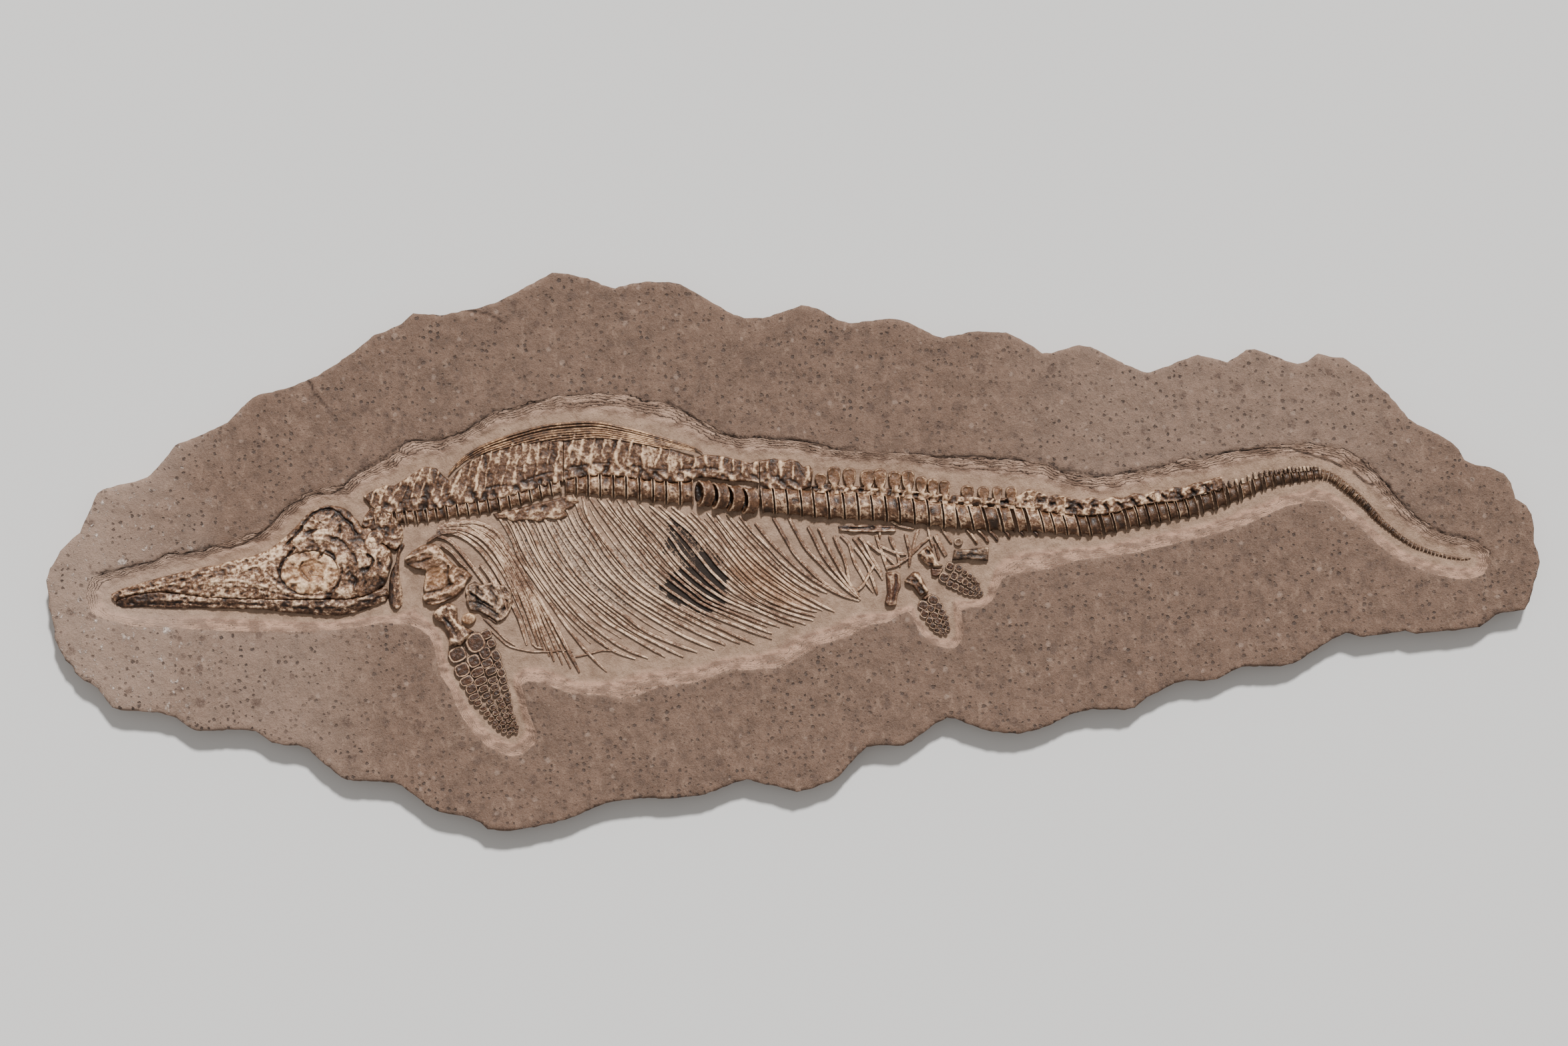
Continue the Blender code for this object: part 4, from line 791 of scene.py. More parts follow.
skull_bone = bone("skull_bone", 0.34, (50, 33, 23), (124, 88, 63), (244, 208, 172), 0.75)
relief("skull_bones", SKULL_TOP + SKULL_BACK + MOUTH, skull_height, 1.35, 2.6, skull_bone,
       ["skull"])

# Lower jaw. A long narrow bar of several splints with ridges along it, nearly black at the tip, that fits
# close under the upper jaw and widens to a step at the joint.
JAW_OUTLINE = [
    (172.4, 906.4), (173.0, 901.6), (181, 896.4), (198.4, 891.8), (218, 888.6), (237, 886.2), (260, 888.2),
    (280, 891.0), (300, 893.8), (340, 896.0), (400, 897.8), (441, 898.0), (485, 897.4), (520, 897.6),
    (545, 893.6), (566, 884), (575, 878.5), (579.5, 880), (582, 890), (581, 897), (578.4, 902.5),
    (562.6, 907), (543, 915), (523, 921), (508.7, 923), (482, 922.6), (464, 921), (444, 919.6),
    (418, 917.6), (398, 913.7), (352, 913), (300, 911.7), (255, 912.4), (218, 909.9), (199.7, 911),
    (181, 910.7),
]
JAW_DRAWN = [
    ([(250, 903), (300, 904.5), (350, 905), (411, 905)], 1.2, -1.7),
    ([(411, 905.5), (437.6, 909.7), (470, 912), (505, 911)], 1.4, -2.4),
    ([(205, 902), (250, 899), (300, 901)], 1.2, 1.8), ([(190, 904), (230, 905.5), (290, 908.5)], 1.1, -1.8),
    ([(575.8, 888.7), (543, 897.5), (517, 906), (480, 908)], 1.8, 0.8),
    ([(578, 893), (545, 902), (520, 911)], 1.3, -2.4), ([(420, 914), (470, 917), (510, 917)], 1.3, 1.6),
    ([(300, 909), (350, 910), (400, 910)], 1.2, 1.5),
]


def jaw_height(x, y):
    fibres = rough((x * 0.995 + y * 0.02) / 2.4, y, 3.4, 141, 4)
    drawn = 0.6 * strokes(x, y, JAW_DRAWN)
    low_y = np.interp(x, [172, 218, 352, 418, 464, 509, 543, 581], [910, 911, 913, 918, 921, 923, 915, 899])
    base = np.interp(x, [172, 200, 260, 400, 500, 545, 582], [5.5, 8, 9.5, 12.5, 14.5, 13, 9])
    base = BED + base * (0.42 + 0.58 * ease((low_y - y) / 14.0))
    tip = ease((310.0 - x) / 130.0)
    detail = 1.2 * fibres + drawn + 0.9 * rough(x, y, 4.8, 143, 2)
    rear = rise(x, 525.0, 25.0)
    pale = 0.42 + 0.22 * detail - 0.24 * tip - 0.08 * rear + 0.22 * bumps(x, y, 18.0, 151)
    return base + detail, pale, cleft_shade(detail, 0.32, 0.2)


jaw_bone = bone("jaw_bone", 0.34, (44, 29, 21), (108, 76, 55), (236, 200, 166), 0.75)
relief("lower_jaw_splints", JAW_OUTLINE, jaw_height, 1.35, 3.2, jaw_bone, ["lower_jaw"])

# Eye ring. Overlapping bony plates that stiffened the eyeball, pressed flat in the socket, with a sunken
# oval pupil in the middle and cracks between the plates.
def oval(cx, cy, rx, ry, sides, knock=0.0, seed=1):
    """Plan points of an oval bone with a slightly uneven edge."""
    points = []
    for k in range(sides):
        a = 2.0 * math.pi * k / sides
        uneven = 1.0 + knock * float(bumps(3.0 * math.cos(a) + cx, 3.0 * math.sin(a) + cy, 1.7, seed))
        points.append((cx + rx * uneven * math.cos(a), cy + ry * uneven * math.sin(a)))
    return points


def eye_height(x, y):
    dx = (x - EYE_X) / 46.0
    dy = (y - EYE_Y) / 36.0
    out = np.sqrt(dx * dx + dy * dy)
    around = np.arctan2(dy, dx)
    px = (x - 468.0) / 19.0
    py = (y - 854.5) / 16.0
    pupil = np.sqrt(px * px + py * py)
    plates = np.cos(around * 13.0 + 2.6 * bumps(x, y, 14.0, 161))
    plates = plates * (0.25 + 0.75 * rise(dy, -0.1, 0.6))
    swell = np.sin(np.clip(out, 0.0, 1.0) * math.pi * 0.86 + 0.25)
    detail = 1.1 * plates * rise(out, 0.42, 0.2) + 1.7 * rough(x, y, 8.0, 163, 4)
    detail = detail + 1.5 * creased(x, y, 15.0, 169, 3)
    drawn = strokes(x, y, [
        ([(454.7, 842.6), (451, 848), (451, 855), (456, 863), (464, 871)], 1.4, -3.0),
        ([(452, 850), (464, 847), (476, 844)], 0.9, -1.6), ([(462.6, 863.7), (482, 864)], 0.9, -1.6),
        ([(478, 838), (484, 830)], 1.6, -2.8), ([(487, 846), (489, 858), (484, 868)], 1.1, -1.2),
    ])
    inside = ease((1.08 - pupil) / 0.2)
    detail = detail * (1.0 - 0.75 * inside)
    high = BED + 13.5 + 4.6 * swell - 2.2 * inside + detail + drawn
    pale = 0.60 + 0.19 * (detail + drawn) + 0.2 * bumps(x, y, 20.0, 167)
    return high, pale, cleft_shade(detail + drawn, 0.26, 0.3), 0.45 * inside


eye_bone = bone("eye_bone", 0.38, (72, 48, 34), (150, 110, 79), (244, 206, 166), 0.6)
relief("eye_ring_plates", oval(EYE_X, EYE_Y, 46.5, 36.5, 72, 0.03, 5), eye_height, 1.3, 5.0, eye_bone,
       ["eye_ring"])

# Small bones behind the skull: the round ear bone in its pocket, a lumpy boss above it, and the long
# waisted rod of the tongue skeleton that lies across the throat.
brown_bone = bone("brown_bone")


def knob_height(cx, cy, rx, ry, top, hollow, seed):
    """A rounded knob with an optional hollow in its middle."""
    def height(x, y):
        out = np.sqrt(((x - cx) / rx) ** 2 + ((y - cy) / ry) ** 2)
        detail = 0.7 * rough(x, y, 7.0, seed, 3)
        high = BED + (top - BED) * np.sqrt(np.clip(1.08 - 0.5 * out * out, 0.1, 1.0)) + detail
        high = high - hollow * bell(out, 0.0, 0.5)
        rim = bell(out, 0.8, 0.14)
        return high + rim * hollow * 0.3, 0.45 + 0.3 * rim + 0.25 * detail, cleft_shade(detail, 0.5, 0.2)
    return height


ear_height = knob_height(574.5, 838.7, 12, 14, 36, 1.6, 171)
relief("ear_bone_disc", oval(574.5, 838.7, 11.6, 13.6, 30, 0.03), ear_height, 1.3, 2.4, eye_bone,
       ["ear_bone"])
relief("skull_boss", oval(562.6, 807, 13, 13, 30, 0.06), knob_height(562.6, 807, 13, 13, 40, 3.0, 175),
       1.3, 4.0, brown_bone, ["neck_boss"])
HYOID = [
    (603.4, 813.7), (599, 818), (595.5, 824), (593.5, 832), (593, 840), (590, 847), (586, 855),
    (583.5, 863), (582.4, 871.6), (581.5, 885), (581, 898), (583.7, 905.8), (590, 913), (596, 913.5),
    (600.8, 909.7), (603, 903), (603.4, 896), (601.4, 882), (598.5, 867), (597.5, 852), (598, 836),
    (600, 828), (603.4, 822), (606, 817.6),
]


def hyoid_height(x, y):
    shaft = rough(x, y / 5.0, 3.4, 181, 3)
    middle = np.interp(y, [813, 840, 870, 913], [603, 595.5, 591, 591])
    high = BED + 7.5 - 0.05 * (x - middle) ** 2 + 0.7 * shaft
    # The side facing the key light is painted paler and the other side darker, as painted light and shade.
    return high, 0.34 + 0.4 * (x - middle) / 9.0 + 0.2 * shaft, cleft_shade(shaft, 0.5, 0.25)


relief("tongue_rod", HYOID, hyoid_height, 1.3, 3.0, brown_bone, ["hyoid_bone"])

# Shoulder girdle and upper arm. Two crumpled plates of the shoulder, an ochre hollow in the first, then the
# short waisted upper arm bone with a worn knuckle at each end and a loose round wrist bone beside it.
SHOULDER = [
    (605, 838), (616, 827), (632, 817), (643, 814.7), (651, 815), (658, 820), (666, 830), (672, 839),
    (684, 849.5), (692, 851), (701, 857), (708, 864), (700, 870), (697, 881), (689, 889), (682, 896),
    (670, 901), (659, 905.5), (647, 908), (636, 905), (632.6, 894.6), (636, 887.7), (633.5, 879),
    (636, 867), (637.8, 855), (621, 853), (609, 847),
]
CORACOID = [
    (699, 887), (701, 877), (711, 871.5), (721, 876.5), (735.8, 872.4), (747, 877), (758, 876),
    (767, 887.5), (766.5, 902), (763, 916), (754, 928), (745, 933), (732, 924), (719, 918), (704, 915),
    (697.5, 902),
]
HUMERUS = [
    (650, 917), (659.5, 908.5), (671.6, 903.5), (680, 905.5), (684.7, 912), (685.5, 927.6), (690.7, 936.3),
    (701, 942.4), (710, 946.5), (703, 953.7), (696, 963), (692, 968), (682, 968.5), (672, 969),
    (672.5, 953.7), (670, 945), (663, 935), (652, 929), (647.3, 923.3),
]


def worn(outline, top, seed, drawn, lean, stretch, streak, rim, tone, dome=0.0, wide=9.0):
    """Height of a weathered bone: streaks along it, a raised rim and its own ridges and grooves."""
    def height(x, y):
        edge = np.maximum(reach(x, y, outline), 0.0)
        u = (x * math.cos(lean) + y * math.sin(lean)) / stretch
        v = y * math.cos(lean) - x * math.sin(lean)
        lines = rough(u, v, 4.6, seed, 3)
        creases = 0.7 - np.abs(rough(x, y, 12.0, seed + 9, 3))
        marks = strokes(x, y, drawn)
        lip = bell(edge, 2.2, 1.7)
        swell = dome * rounded(edge, wide)
        detail = streak * lines + 0.8 * streak * creases + marks
        high = BED + top + swell + detail + rim * lip
        pale = tone + 0.20 * detail + 0.16 * lip + 0.20 * bumps(x, y, 15.0, seed + 5)
        return high, pale, cleft_shade(detail, 0.35, 0.25)
    return height


SHOULDER_DRAWN = [
    ([(635, 898), (655, 893), (678, 884), (701, 870)], 2.6, 3.2),
    ([(636, 889), (660, 885), (684, 872)], 1.6, -2.4),
    ([(606, 838), (622, 832), (640, 826), (656, 828)], 2.4, 2.6),
    ([(612, 846), (632, 842), (648, 836)], 1.6, -2.4),
    ([(640, 820), (650, 830), (664, 838), (676, 850)], 2.2, 2.0),
    ([(684, 852), (676, 862), (680, 873)], 3.2, 3.4), ([(672, 848), (670, 860), (673, 876)], 1.5, -2.8),
    ([(640, 903), (660, 900), (684, 893)], 1.4, -2.0), ([(637, 856), (641, 870), (637, 884)], 2.0, 2.2),
    ([(690, 862), (697, 868)], 1.6, -2.2),
]


def shoulder_height(x, y):
    high, pale, deep = worn(SHOULDER, 8.5, 201, SHOULDER_DRAWN, -0.35, 2.0, 1.3, 0.8, 0.33)(x, y)
    field = ease((1.0 - ((x - 653.0) / 17.0) ** 2 - ((y - 865.0) / 17.0) ** 2) / 0.4)
    return high - 1.6 * field, pale + 0.05 * field, deep * (1.0 - 0.4 * field), 0.3 + 0.45 * field


relief("shoulder_blade", SHOULDER, shoulder_height, 1.3, 3.5, brown_bone, ["shoulder_plate"])
grey_bone = bone("grey_bone", 0.36, (42, 31, 24), (110, 82, 62), (212, 178, 148))
CORACOID_DRAWN = [
    ([(740, 878), (750, 890), (752, 905), (744, 918)], 1.8, 2.4),
    ([(756, 880), (760, 896), (756, 914)], 1.6, -2.4), ([(735, 886), (744, 896), (742, 908)], 1.5, -2.2),
    ([(720, 879), (730, 888), (733, 900)], 1.4, 2.0),
    ([(704, 884), (716, 893), (730, 902), (746, 912)], 2.0, 2.6),
    ([(712, 876), (722, 884), (736, 898)], 1.5, 2.2), ([(706, 890), (720, 900), (738, 910)], 1.5, -3.0),
    ([(704, 902), (722, 906), (744, 920)], 1.6, -2.4), ([(716, 880), (713, 892), (716, 903)], 1.4, -2.6),
    ([(728, 892), (722, 902), (730, 910)], 1.6, 2.2),
]
relief("coracoid", CORACOID, worn(CORACOID, 5.5, 207, CORACOID_DRAWN, 0.7, 2.0, 1.2, 0.6, 0.30), 1.3, 3.0,
       grey_bone, ["coracoid_plate"])
HUMERUS_DRAWN = [
    ([(657, 917), (668, 911), (680, 911)], 3.2, 2.6), ([(664, 926), (676, 938), (684, 952)], 1.7, -2.4),
    ([(674, 918), (680, 930), (690, 942)], 2.4, 2.4), ([(676, 960), (688, 962), (700, 952)], 2.6, 2.2),
]
relief("upper_arm", HUMERUS, worn(HUMERUS, 7.0, 211, HUMERUS_DRAWN, 1.1, 3.0, 1.2, 0.5, 0.36, 6.0, 11.0),
       1.3, 4.0, brown_bone, ["upper_arm_bone"])
CHIPS = [
    [(739, 871), (744, 868), (751, 882), (751, 887), (746, 888), (741, 880)],
    [(745, 921), (756, 914), (762, 903), (766, 894), (769, 903), (765, 915), (758, 926), (748, 933)],
    [(752, 884), (762, 886), (767, 892), (762, 902), (755, 898)],
    [(697, 884), (704, 882), (703, 894), (696, 892)],
]
chips = [relief_form(loop, worn(loop, 5.0, 221 + 5 * k, (), 0.9, 2.5, 0.8, 0.8, 0.44), 1.2, 1.6)
         for k, loop in enumerate(CHIPS)]
finish_piece(gather(chips), "shoulder_chips", brown_bone, ["coracoid_plate"])
relief("wrist_bone", oval(702, 927.6, 11, 9, 26, 0.04), knob_height(702, 927.6, 11, 9, 33, 0.6, 215), 1.3,
       3.2, eye_bone, ["wrist_pebble"])

# Front paddle. Rows of flat finger bones packed like cobbles, big and many-sided next to the arm and
# small and round at the tip; each has a raised paler rim round a dished dark middle.
FINGER_BONES = [
    (685.5, 981.5, 26, 22), (712.5, 963, 28, 28), (729, 951, 16, 14), (736, 964, 12, 12),
    (727, 979, 17, 17), (743, 982.4, 13, 16), (692.5, 1004, 22, 20), (710, 991, 19, 19),
    (729.8, 994.5, 17, 13), (747, 997, 11, 13), (699.4, 1020.6, 19, 14), (716, 1007.5, 20, 13),
    (736, 1005.8, 17, 12), (751.5, 1008.4, 12, 12), (706.4, 1032.7, 17, 14), (720.3, 1020.6, 19, 12),
    (738.5, 1019.7, 14, 10), (754, 1019.7, 11, 10), (710.7, 1044.9, 16, 10), (724.6, 1031.9, 14, 9),
    (741, 1030, 12, 9), (756.8, 1031, 11, 9), (716, 1053.6, 12, 9), (729, 1042.3, 13, 9),
    (743.7, 1038.8, 11, 8), (760, 1042.3, 10, 9), (723.8, 1062.3, 10, 8), (734.2, 1051.8, 10, 8),
    (749, 1048.4, 9, 8), (761, 1050, 8, 7), (729.8, 1070, 10, 7), (738.5, 1060.5, 10, 8),
    (752.4, 1057.2, 10, 8), (763.7, 1059.5, 8, 7), (736, 1077.5, 9, 7), (743, 1068.5, 9, 8),
    (755, 1065.8, 8, 7), (765.4, 1067.6, 7, 7), (742, 1084, 8, 7), (748, 1076.3, 8, 7), (758.5, 1073, 8, 7),
    (769, 1075, 6, 6), (748, 1090.5, 8, 7), (754, 1083.4, 8, 7), (762.5, 1080, 7, 6), (771, 1082.5, 6, 6),
    (755.5, 1095, 8, 7), (760.5, 1089, 7, 6), (767.5, 1087, 7, 6), (774, 1090, 6, 5), (763, 1099, 7, 6),
    (768, 1095, 6, 6), (773.5, 1096.5, 5, 5),
]


def cobble(bm, tone, cx, cy, w, h, turn, high, seed, shade):
    """One small flat bone: an uneven oval, raised, with a rim left round a dished middle."""
    sides = 16 if max(w, h) > 9 else 12
    made = bmesh.ops.create_circle(bm, cap_ends=True, radius=1.0, segments=sides)["verts"]
    for vert in made:
        a = math.atan2(vert.co.y, vert.co.x)
        square = (abs(math.cos(a)) ** 3.0 + abs(math.sin(a)) ** 3.0) ** (-1.0 / 3.0) * 0.96
        uneven = square * (1.0 + 0.07 * float(bumps(2.0 * math.cos(a), 2.0 * math.sin(a) + seed, 1.3, seed)))
        px = 0.5 * w * uneven * math.cos(a)
        py = 0.5 * h * uneven * math.sin(a)
        x = cx + px * math.cos(turn) - py * math.sin(turn)
        y = cy + px * math.sin(turn) + py * math.cos(turn)
        vert.co = plan(x, y, BED - 0.3)
        # The sides are painted nearly black as the shade between the bones.
        vert[tone] = (0.2, 0.95, 0.0, 1.0)
    raised = bmesh.ops.extrude_face_region(bm, geom=[made[0].link_faces[0]])["geom"]
    top = only(raised, bmesh.types.BMFace)[0]
    bmesh.ops.translate(bm, verts=top.verts[:], vec=(0.0, 0.0, (high - 0.6) * MM))
    rings = (
        (0.03, 0.35, 0.52, 0.1), (0.055, 0.15, 0.88, 0.0), (0.03, -0.2, 0.50, 0.0),
        (0.04, -0.3, 0.10 + shade, 0.35), (0.10, 0.0, 0.14 + shade, 0.2), (0.10, 0.1, 0.20 + shade, 0.1),
    )
    # The top's outer edge is painted dark as shade before the rims are inset.
    for vert in top.verts:
        vert[tone] = (0.3, 0.7, 0.0, 1.0)
    for inset, lift, pale, deep in rings:
        bmesh.ops.inset_individual(bm, faces=[top], thickness=inset * min(w, h) * MM, depth=lift * MM)
        for vert in top.verts:
            x = vert.co.x / MM
            y = vert.co.y / MM
            vert.co.z += 0.22 * MM * float(bumps(x, y, 2.6, seed))
            vert[tone] = (pale + 0.22 * float(bumps(x, y, 3.1, 17)), deep, 0.1, 1.0)
    bmesh.ops.poke(bm, faces=[top])


def cobbles(name, rows, turn, high, mat, nodes, others=()):
    """A paddle: its finger bones side by side as one piece."""
    bm = bmesh.new()
    tone = bm.verts.layers.float_color.new("bone")
    for k, (cx, cy, w, h) in enumerate(rows):
        shade = 0.12 * float(bumps(cx, cy, 13.0, 19))
        cobble(bm, tone, cx, cy, w * 1.10, h * 1.10, turn, high + 0.04 * min(w, h), 300 + k, shade)
    finish_piece(gather([bm, *others]), name, mat, nodes)


dark_bone = bone("dark_bone", 0.32, (36, 22, 15), (92, 58, 39), (226, 188, 152), 0.35)
cobbles("front_paddle_bones", FINGER_BONES, -0.42, 5.5, dark_bone, ["front_paddle"])

# Backbone. Short drum-shaped vertebrae side by side, each waisted between two raised rims and bearing small
# round rib facets, with black gaps at the joints where the drum ends are painted dark as shade; from the hip
# on they shrink steadily to the tail.
NECK_ROWS = [
    (560, 768, 790), (580, 765, 788), (600, 763, 787), (620, 762, 786), (640, 760, 784), (660, 757, 780),
    (680, 753, 776), (700, 750, 774), (722, 748, 772), (742, 744, 768), (762, 739, 763), (784, 733, 757),
    (804, 727, 751), (825, 720, 745), (841, 716, 741),
]
TRUNK_FRONT_ROWS = [
    (846, 715, 741), (863, 712, 742.5), (881, 709, 744), (899, 708.5, 745.5), (919, 709, 747),
    (938, 711, 748.5), (958, 714, 751), (978.5, 717, 754.5), (998, 719, 757), (1019, 719, 758),
    (1040, 718, 757),
]
TRUNK_REAR_ROWS = [
    (1139.5, 730, 770), (1159.5, 729, 771), (1179, 729, 772.5), (1200, 731, 775), (1219, 733, 777),
    (1241, 736, 779), (1264, 736, 779.5), (1285, 736, 780.5), (1306, 738, 781.5), (1327, 739, 783),
    (1347, 741, 785), (1369, 744, 787), (1390.5, 747, 789), (1412.5, 750, 792), (1433, 751, 794),
]
TAIL_FRONT_ROWS = [
    (1433.7, 752, 794.5), (1454.5, 754, 796), (1476, 756, 797), (1499, 757, 798), (1519.5, 757, 799),
    (1538.5, 759, 798.5), (1561, 763, 799.5), (1577.5, 766, 801), (1596, 768, 803), (1615, 770, 804),
]
TAIL_MIDDLE_ROWS = [
    (1615.7, 770, 804), (1632, 771, 805), (1651, 769, 803), (1668.5, 767, 799), (1688, 762, 794),
    (1704, 756, 791), (1719.5, 753, 788.5), (1735.5, 751, 785), (1751, 750, 781.5), (1764.5, 749, 779),
    (1779, 747, 777), (1795, 741, 773),
]
TAIL_REAR_ROWS = [
    (1800, 739, 771), (1820, 734, 766), (1839, 728, 758.5), (1858, 723, 751), (1877, 717, 743),
    (1894, 711, 736), (1909, 709, 731), (1923, 707, 728), (1936, 705, 726), (1947, 704, 724),
    (1958, 703, 722), (1969, 702, 720), (1979, 702, 719),
]
TAIL_TIP_LINE = [
    (1979.6, 710.4, 8.4), (1992, 713, 7.6), (2003, 719, 7.6), (2014, 727, 7.4), (2024, 735, 7.2),
    (2034, 743.5, 7), (2043, 752, 6.8), (2051, 760, 6.4), (2060, 770, 6.4), (2069, 779, 5.6),
    (2079, 788, 5.4), (2090, 797, 5), (2100, 805, 4.4), (2112, 813, 4), (2124, 819.5, 4.2),
    (2135, 823.5, 3.8), (2147, 828, 3.6), (2158, 831, 3), (2170, 834.5, 2.8), (2184, 836.6, 2.6),
    (2196, 837.8, 2.4), (2206, 837.5, 1),
]
WIDE_GAPS = {
    1264: 1.3, 1285: 1.6, 1306: 1.5, 1327: 1.6, 1347: 1.4, 1476: 2.4, 1499: 2.4, 1519.5: 4.0, 1538.5: 3.4,
    1632: 1.6, 1651: 3.2, 1668.5: 1.8, 1688: 3.2, 1704: 1.4, 1719.5: 1.8, 1735.5: 1.4, 1751: 1.2, 1779: 1.6,
    1820: 3.4, 1839: 3.6, 1858: 4.0, 1877: 4.0, 1894: 3.4, 1909: 2.6, 1923: 2.4, 1936: 2.2, 1947: 2.0,
}
FACETS = [
    (1149, 754), (1170, 755), (1190, 754), (1210, 750), (1232, 768), (1251, 763), (1274, 752), (870, 728),
    (890, 722), (908, 734), (928, 724), (949, 736), (968, 730), (988, 741), (1008, 733), (1030, 744),
    (1317, 771), (1338, 772), (1358, 773), (1380, 776), (1402, 777), (1423, 779), (1444, 782),
]


def spool_profile(waist):
    """Half outline of a vertebra from the middle of one hollow end round the rims to the other end."""
    half = [
        (0.82, 0.0), (0.88, 0.5), (0.97, 0.82), (1.0, 0.93), (0.97, 0.99), (0.88, 1.0),
        (0.76, 0.5 + 0.5 * waist), (0.58, 0.15 + 0.85 * waist), (0.36, waist), (0.12, waist - 0.01),
    ]
    return [(-t, r) for t, r in half] + [(t, r) for t, r in reversed(half)]


def spun(bm, points, angle, steps):
    """A line of points joined up and spun round the x axis."""
    line = [bm.verts.new(point) for point in points]
    links = [bm.edges.new(pair) for pair in zip(line, line[1:])]
    bmesh.ops.spin(bm, geom=line + links, cent=(0, 0, 0), axis=(1, 0, 0), angle=angle, steps=steps)
    bmesh.ops.remove_doubles(bm, verts=bm.verts[:], dist=0.0004)


def vertebra(left, right, high, waist, gaps, bow, level, seed):
    """One drum between two joint lines: its outline spun half a turn and fitted between the lines."""
    bm = bmesh.new()
    tone = bm.verts.layers.float_color.new("bone")
    spun(bm, [(t, r, 0.0) for t, r in spool_profile(waist)], math.pi, 22)
    bmesh.ops.edgeloop_fill(bm, edges=[e for e in bm.edges if e.is_boundary])
    t, c, s = np.array([v.co[:] for v in bm.verts]).T
    share = 0.5 * (1.0 - c)
    size = 0.5 * sum(math.hypot(right[n] - left[n], right[n + 1] - left[n + 1]) for n in (0, 2))
    u = (gaps[0] + (size - gaps[0] - gaps[1]) * 0.5 * (t + 1.0)) / size
    lx, rx = (line[0] + (line[2] - line[0]) * share for line in (left, right))
    ly, ry = (line[1] + (line[3] - line[1]) * share for line in (left, right))
    x = lx + (rx - lx) * u + bow * (1.0 - c * c)
    y = ly + (ry - ly) * u
    x = x + 0.35 * bumps(x, y, 5.0, seed + 3)
    y = y + 0.35 * bumps(x, y, 5.0, seed + 4)
    wear = 0.55 * rough(x, y, 8.0, seed, 3)
    creases = creased(x, y * 0.6, 9.0, seed + 7, 2)
    z = high * s * (1.0 + 0.03 * wear) + (wear + 0.8 * creases) * rise(s, 0.1, 0.4) * min(high / 16.0, 1.0)
    ring = np.zeros_like(x)
    for fx, fy in FACETS:
        far = np.hypot(x - fx, y - fy)
        ring += 1.1 * bell(far, 3.4, 1.1) - 1.5 * bell(far, 0.0, 1.9)
    z = z + ring * rise(s, 0.2, 0.2)
    rims = bell(np.abs(t), 0.87, 0.08)
    pale = level - 0.04 + 0.42 * rims + 0.28 * wear + 0.40 * creases + 0.25 * ring
    pale = pale + 0.1 * bumps(x, y, 23.0, 5)
    # Painted shade: dark at the drum's ends in the joints, along its low flanks by the floor, in its creases
    # and in the pits of the rib facets.
    deep = np.maximum(ease((np.abs(t) - 0.92) / 0.04), 0.75 * ease((0.2 - s) / 0.2))
    deep = np.maximum(deep, 0.8 * rise(-creases, 0.15, 0.3) * rise(1.0 - np.abs(t), 0.1, 0.2))
    deep = np.maximum(deep, np.clip(-0.5 * ring, 0.0, 1.0))
    for vert, px, py, pz, p, d in zip(bm.verts, x, y, z, np.clip(pale, 0.0, 1.0), np.clip(deep, 0.0, 1.0)):
        vert.co = plan(px, py, BED - 0.2 + pz)
        vert[tone] = (p, d, 0.15, 1.0)
    return bm


def leaned(rows, lean):
    """Joint lines of a run: from x, back y and front y to both ends, leaned by a share of the height."""
    lines = []
    for x, back, front in rows:
        shift = lean * 0.5 * (front - back)
        lines.append((x - shift, back, x + shift, front))
    return lines


def run_of(rows, lines, height, waist, level, seed, bow):
    """The vertebrae of one run, one between each pair of joint lines."""
    parts = []
    for k in range(len(lines) - 1):
        half = 0.25 * (rows[k][2] - rows[k][1] + rows[k + 1][2] - rows[k + 1][1])
        width = math.hypot(lines[k + 1][0] - lines[k][0], lines[k + 1][1] - lines[k][1])
        gaps = [min(0.65 * WIDE_GAPS.get(round(row[0], 1), 1.4), 0.16 * width) for row in rows[k:k + 2]]
        high = half * height * (1.0 + 0.05 * float(bumps(rows[k][0], 0.0, 11.0, seed)))
        parts.append(vertebra(lines[k], lines[k + 1], high, waist, gaps, bow, level, seed + 5 * k))
    return parts


def leaning_run(rows, lean, *shape):
    """A run whose joint lines all lean by the same share of their height."""
    return run_of(rows, leaned(rows, lean), *shape)


glossy_bone = bone("glossy_bone", 0.28, (38, 24, 17), (98, 67, 47), (242, 204, 168), 0.55)
NECK_STEP = 15.6
neck_rows = []
for x in np.arange(560.0, 842.0, NECK_STEP):
    neck_rows.append((float(x), float(along(x, NECK_ROWS)), float(along(x, NECK_ROWS, 2))))
# The first joints of the neck gape, less and less towards the trunk.
for k, row in enumerate(neck_rows[1:8]):
    WIDE_GAPS[round(row[0], 1)] = 3.6 - 0.35 * k
neck_parts = leaning_run(neck_rows, 0.18, 0.86, 0.74, 0.38, 401, 0.6)
finish_piece(gather(neck_parts), "neck_vertebrae", glossy_bone, ["neck_backbone"])
trunk_parts = leaning_run(TRUNK_FRONT_ROWS, 0.02, 0.86, 0.76, 0.38, 431, 0.8)
finish_piece(gather(trunk_parts), "trunk_vertebrae_front", glossy_bone, ["trunk_backbone_front"])
trunk_parts = leaning_run(TRUNK_REAR_ROWS, 0.10, 0.88, 0.88, 0.40, 461, 0.9)
finish_piece(gather(trunk_parts), "trunk_vertebrae_rear", glossy_bone, ["trunk_backbone_rear"])
tail_parts = leaning_run(TAIL_FRONT_ROWS, 0.26, 0.86, 0.86, 0.38, 491, 0.5)

# Bony spurs under the front of the tail. Short splints of bone that hang from the joints and lean back, and
# behind them the dark rest of the tail, its last run with small spikes along its back.
ROD_STEP = 2.6


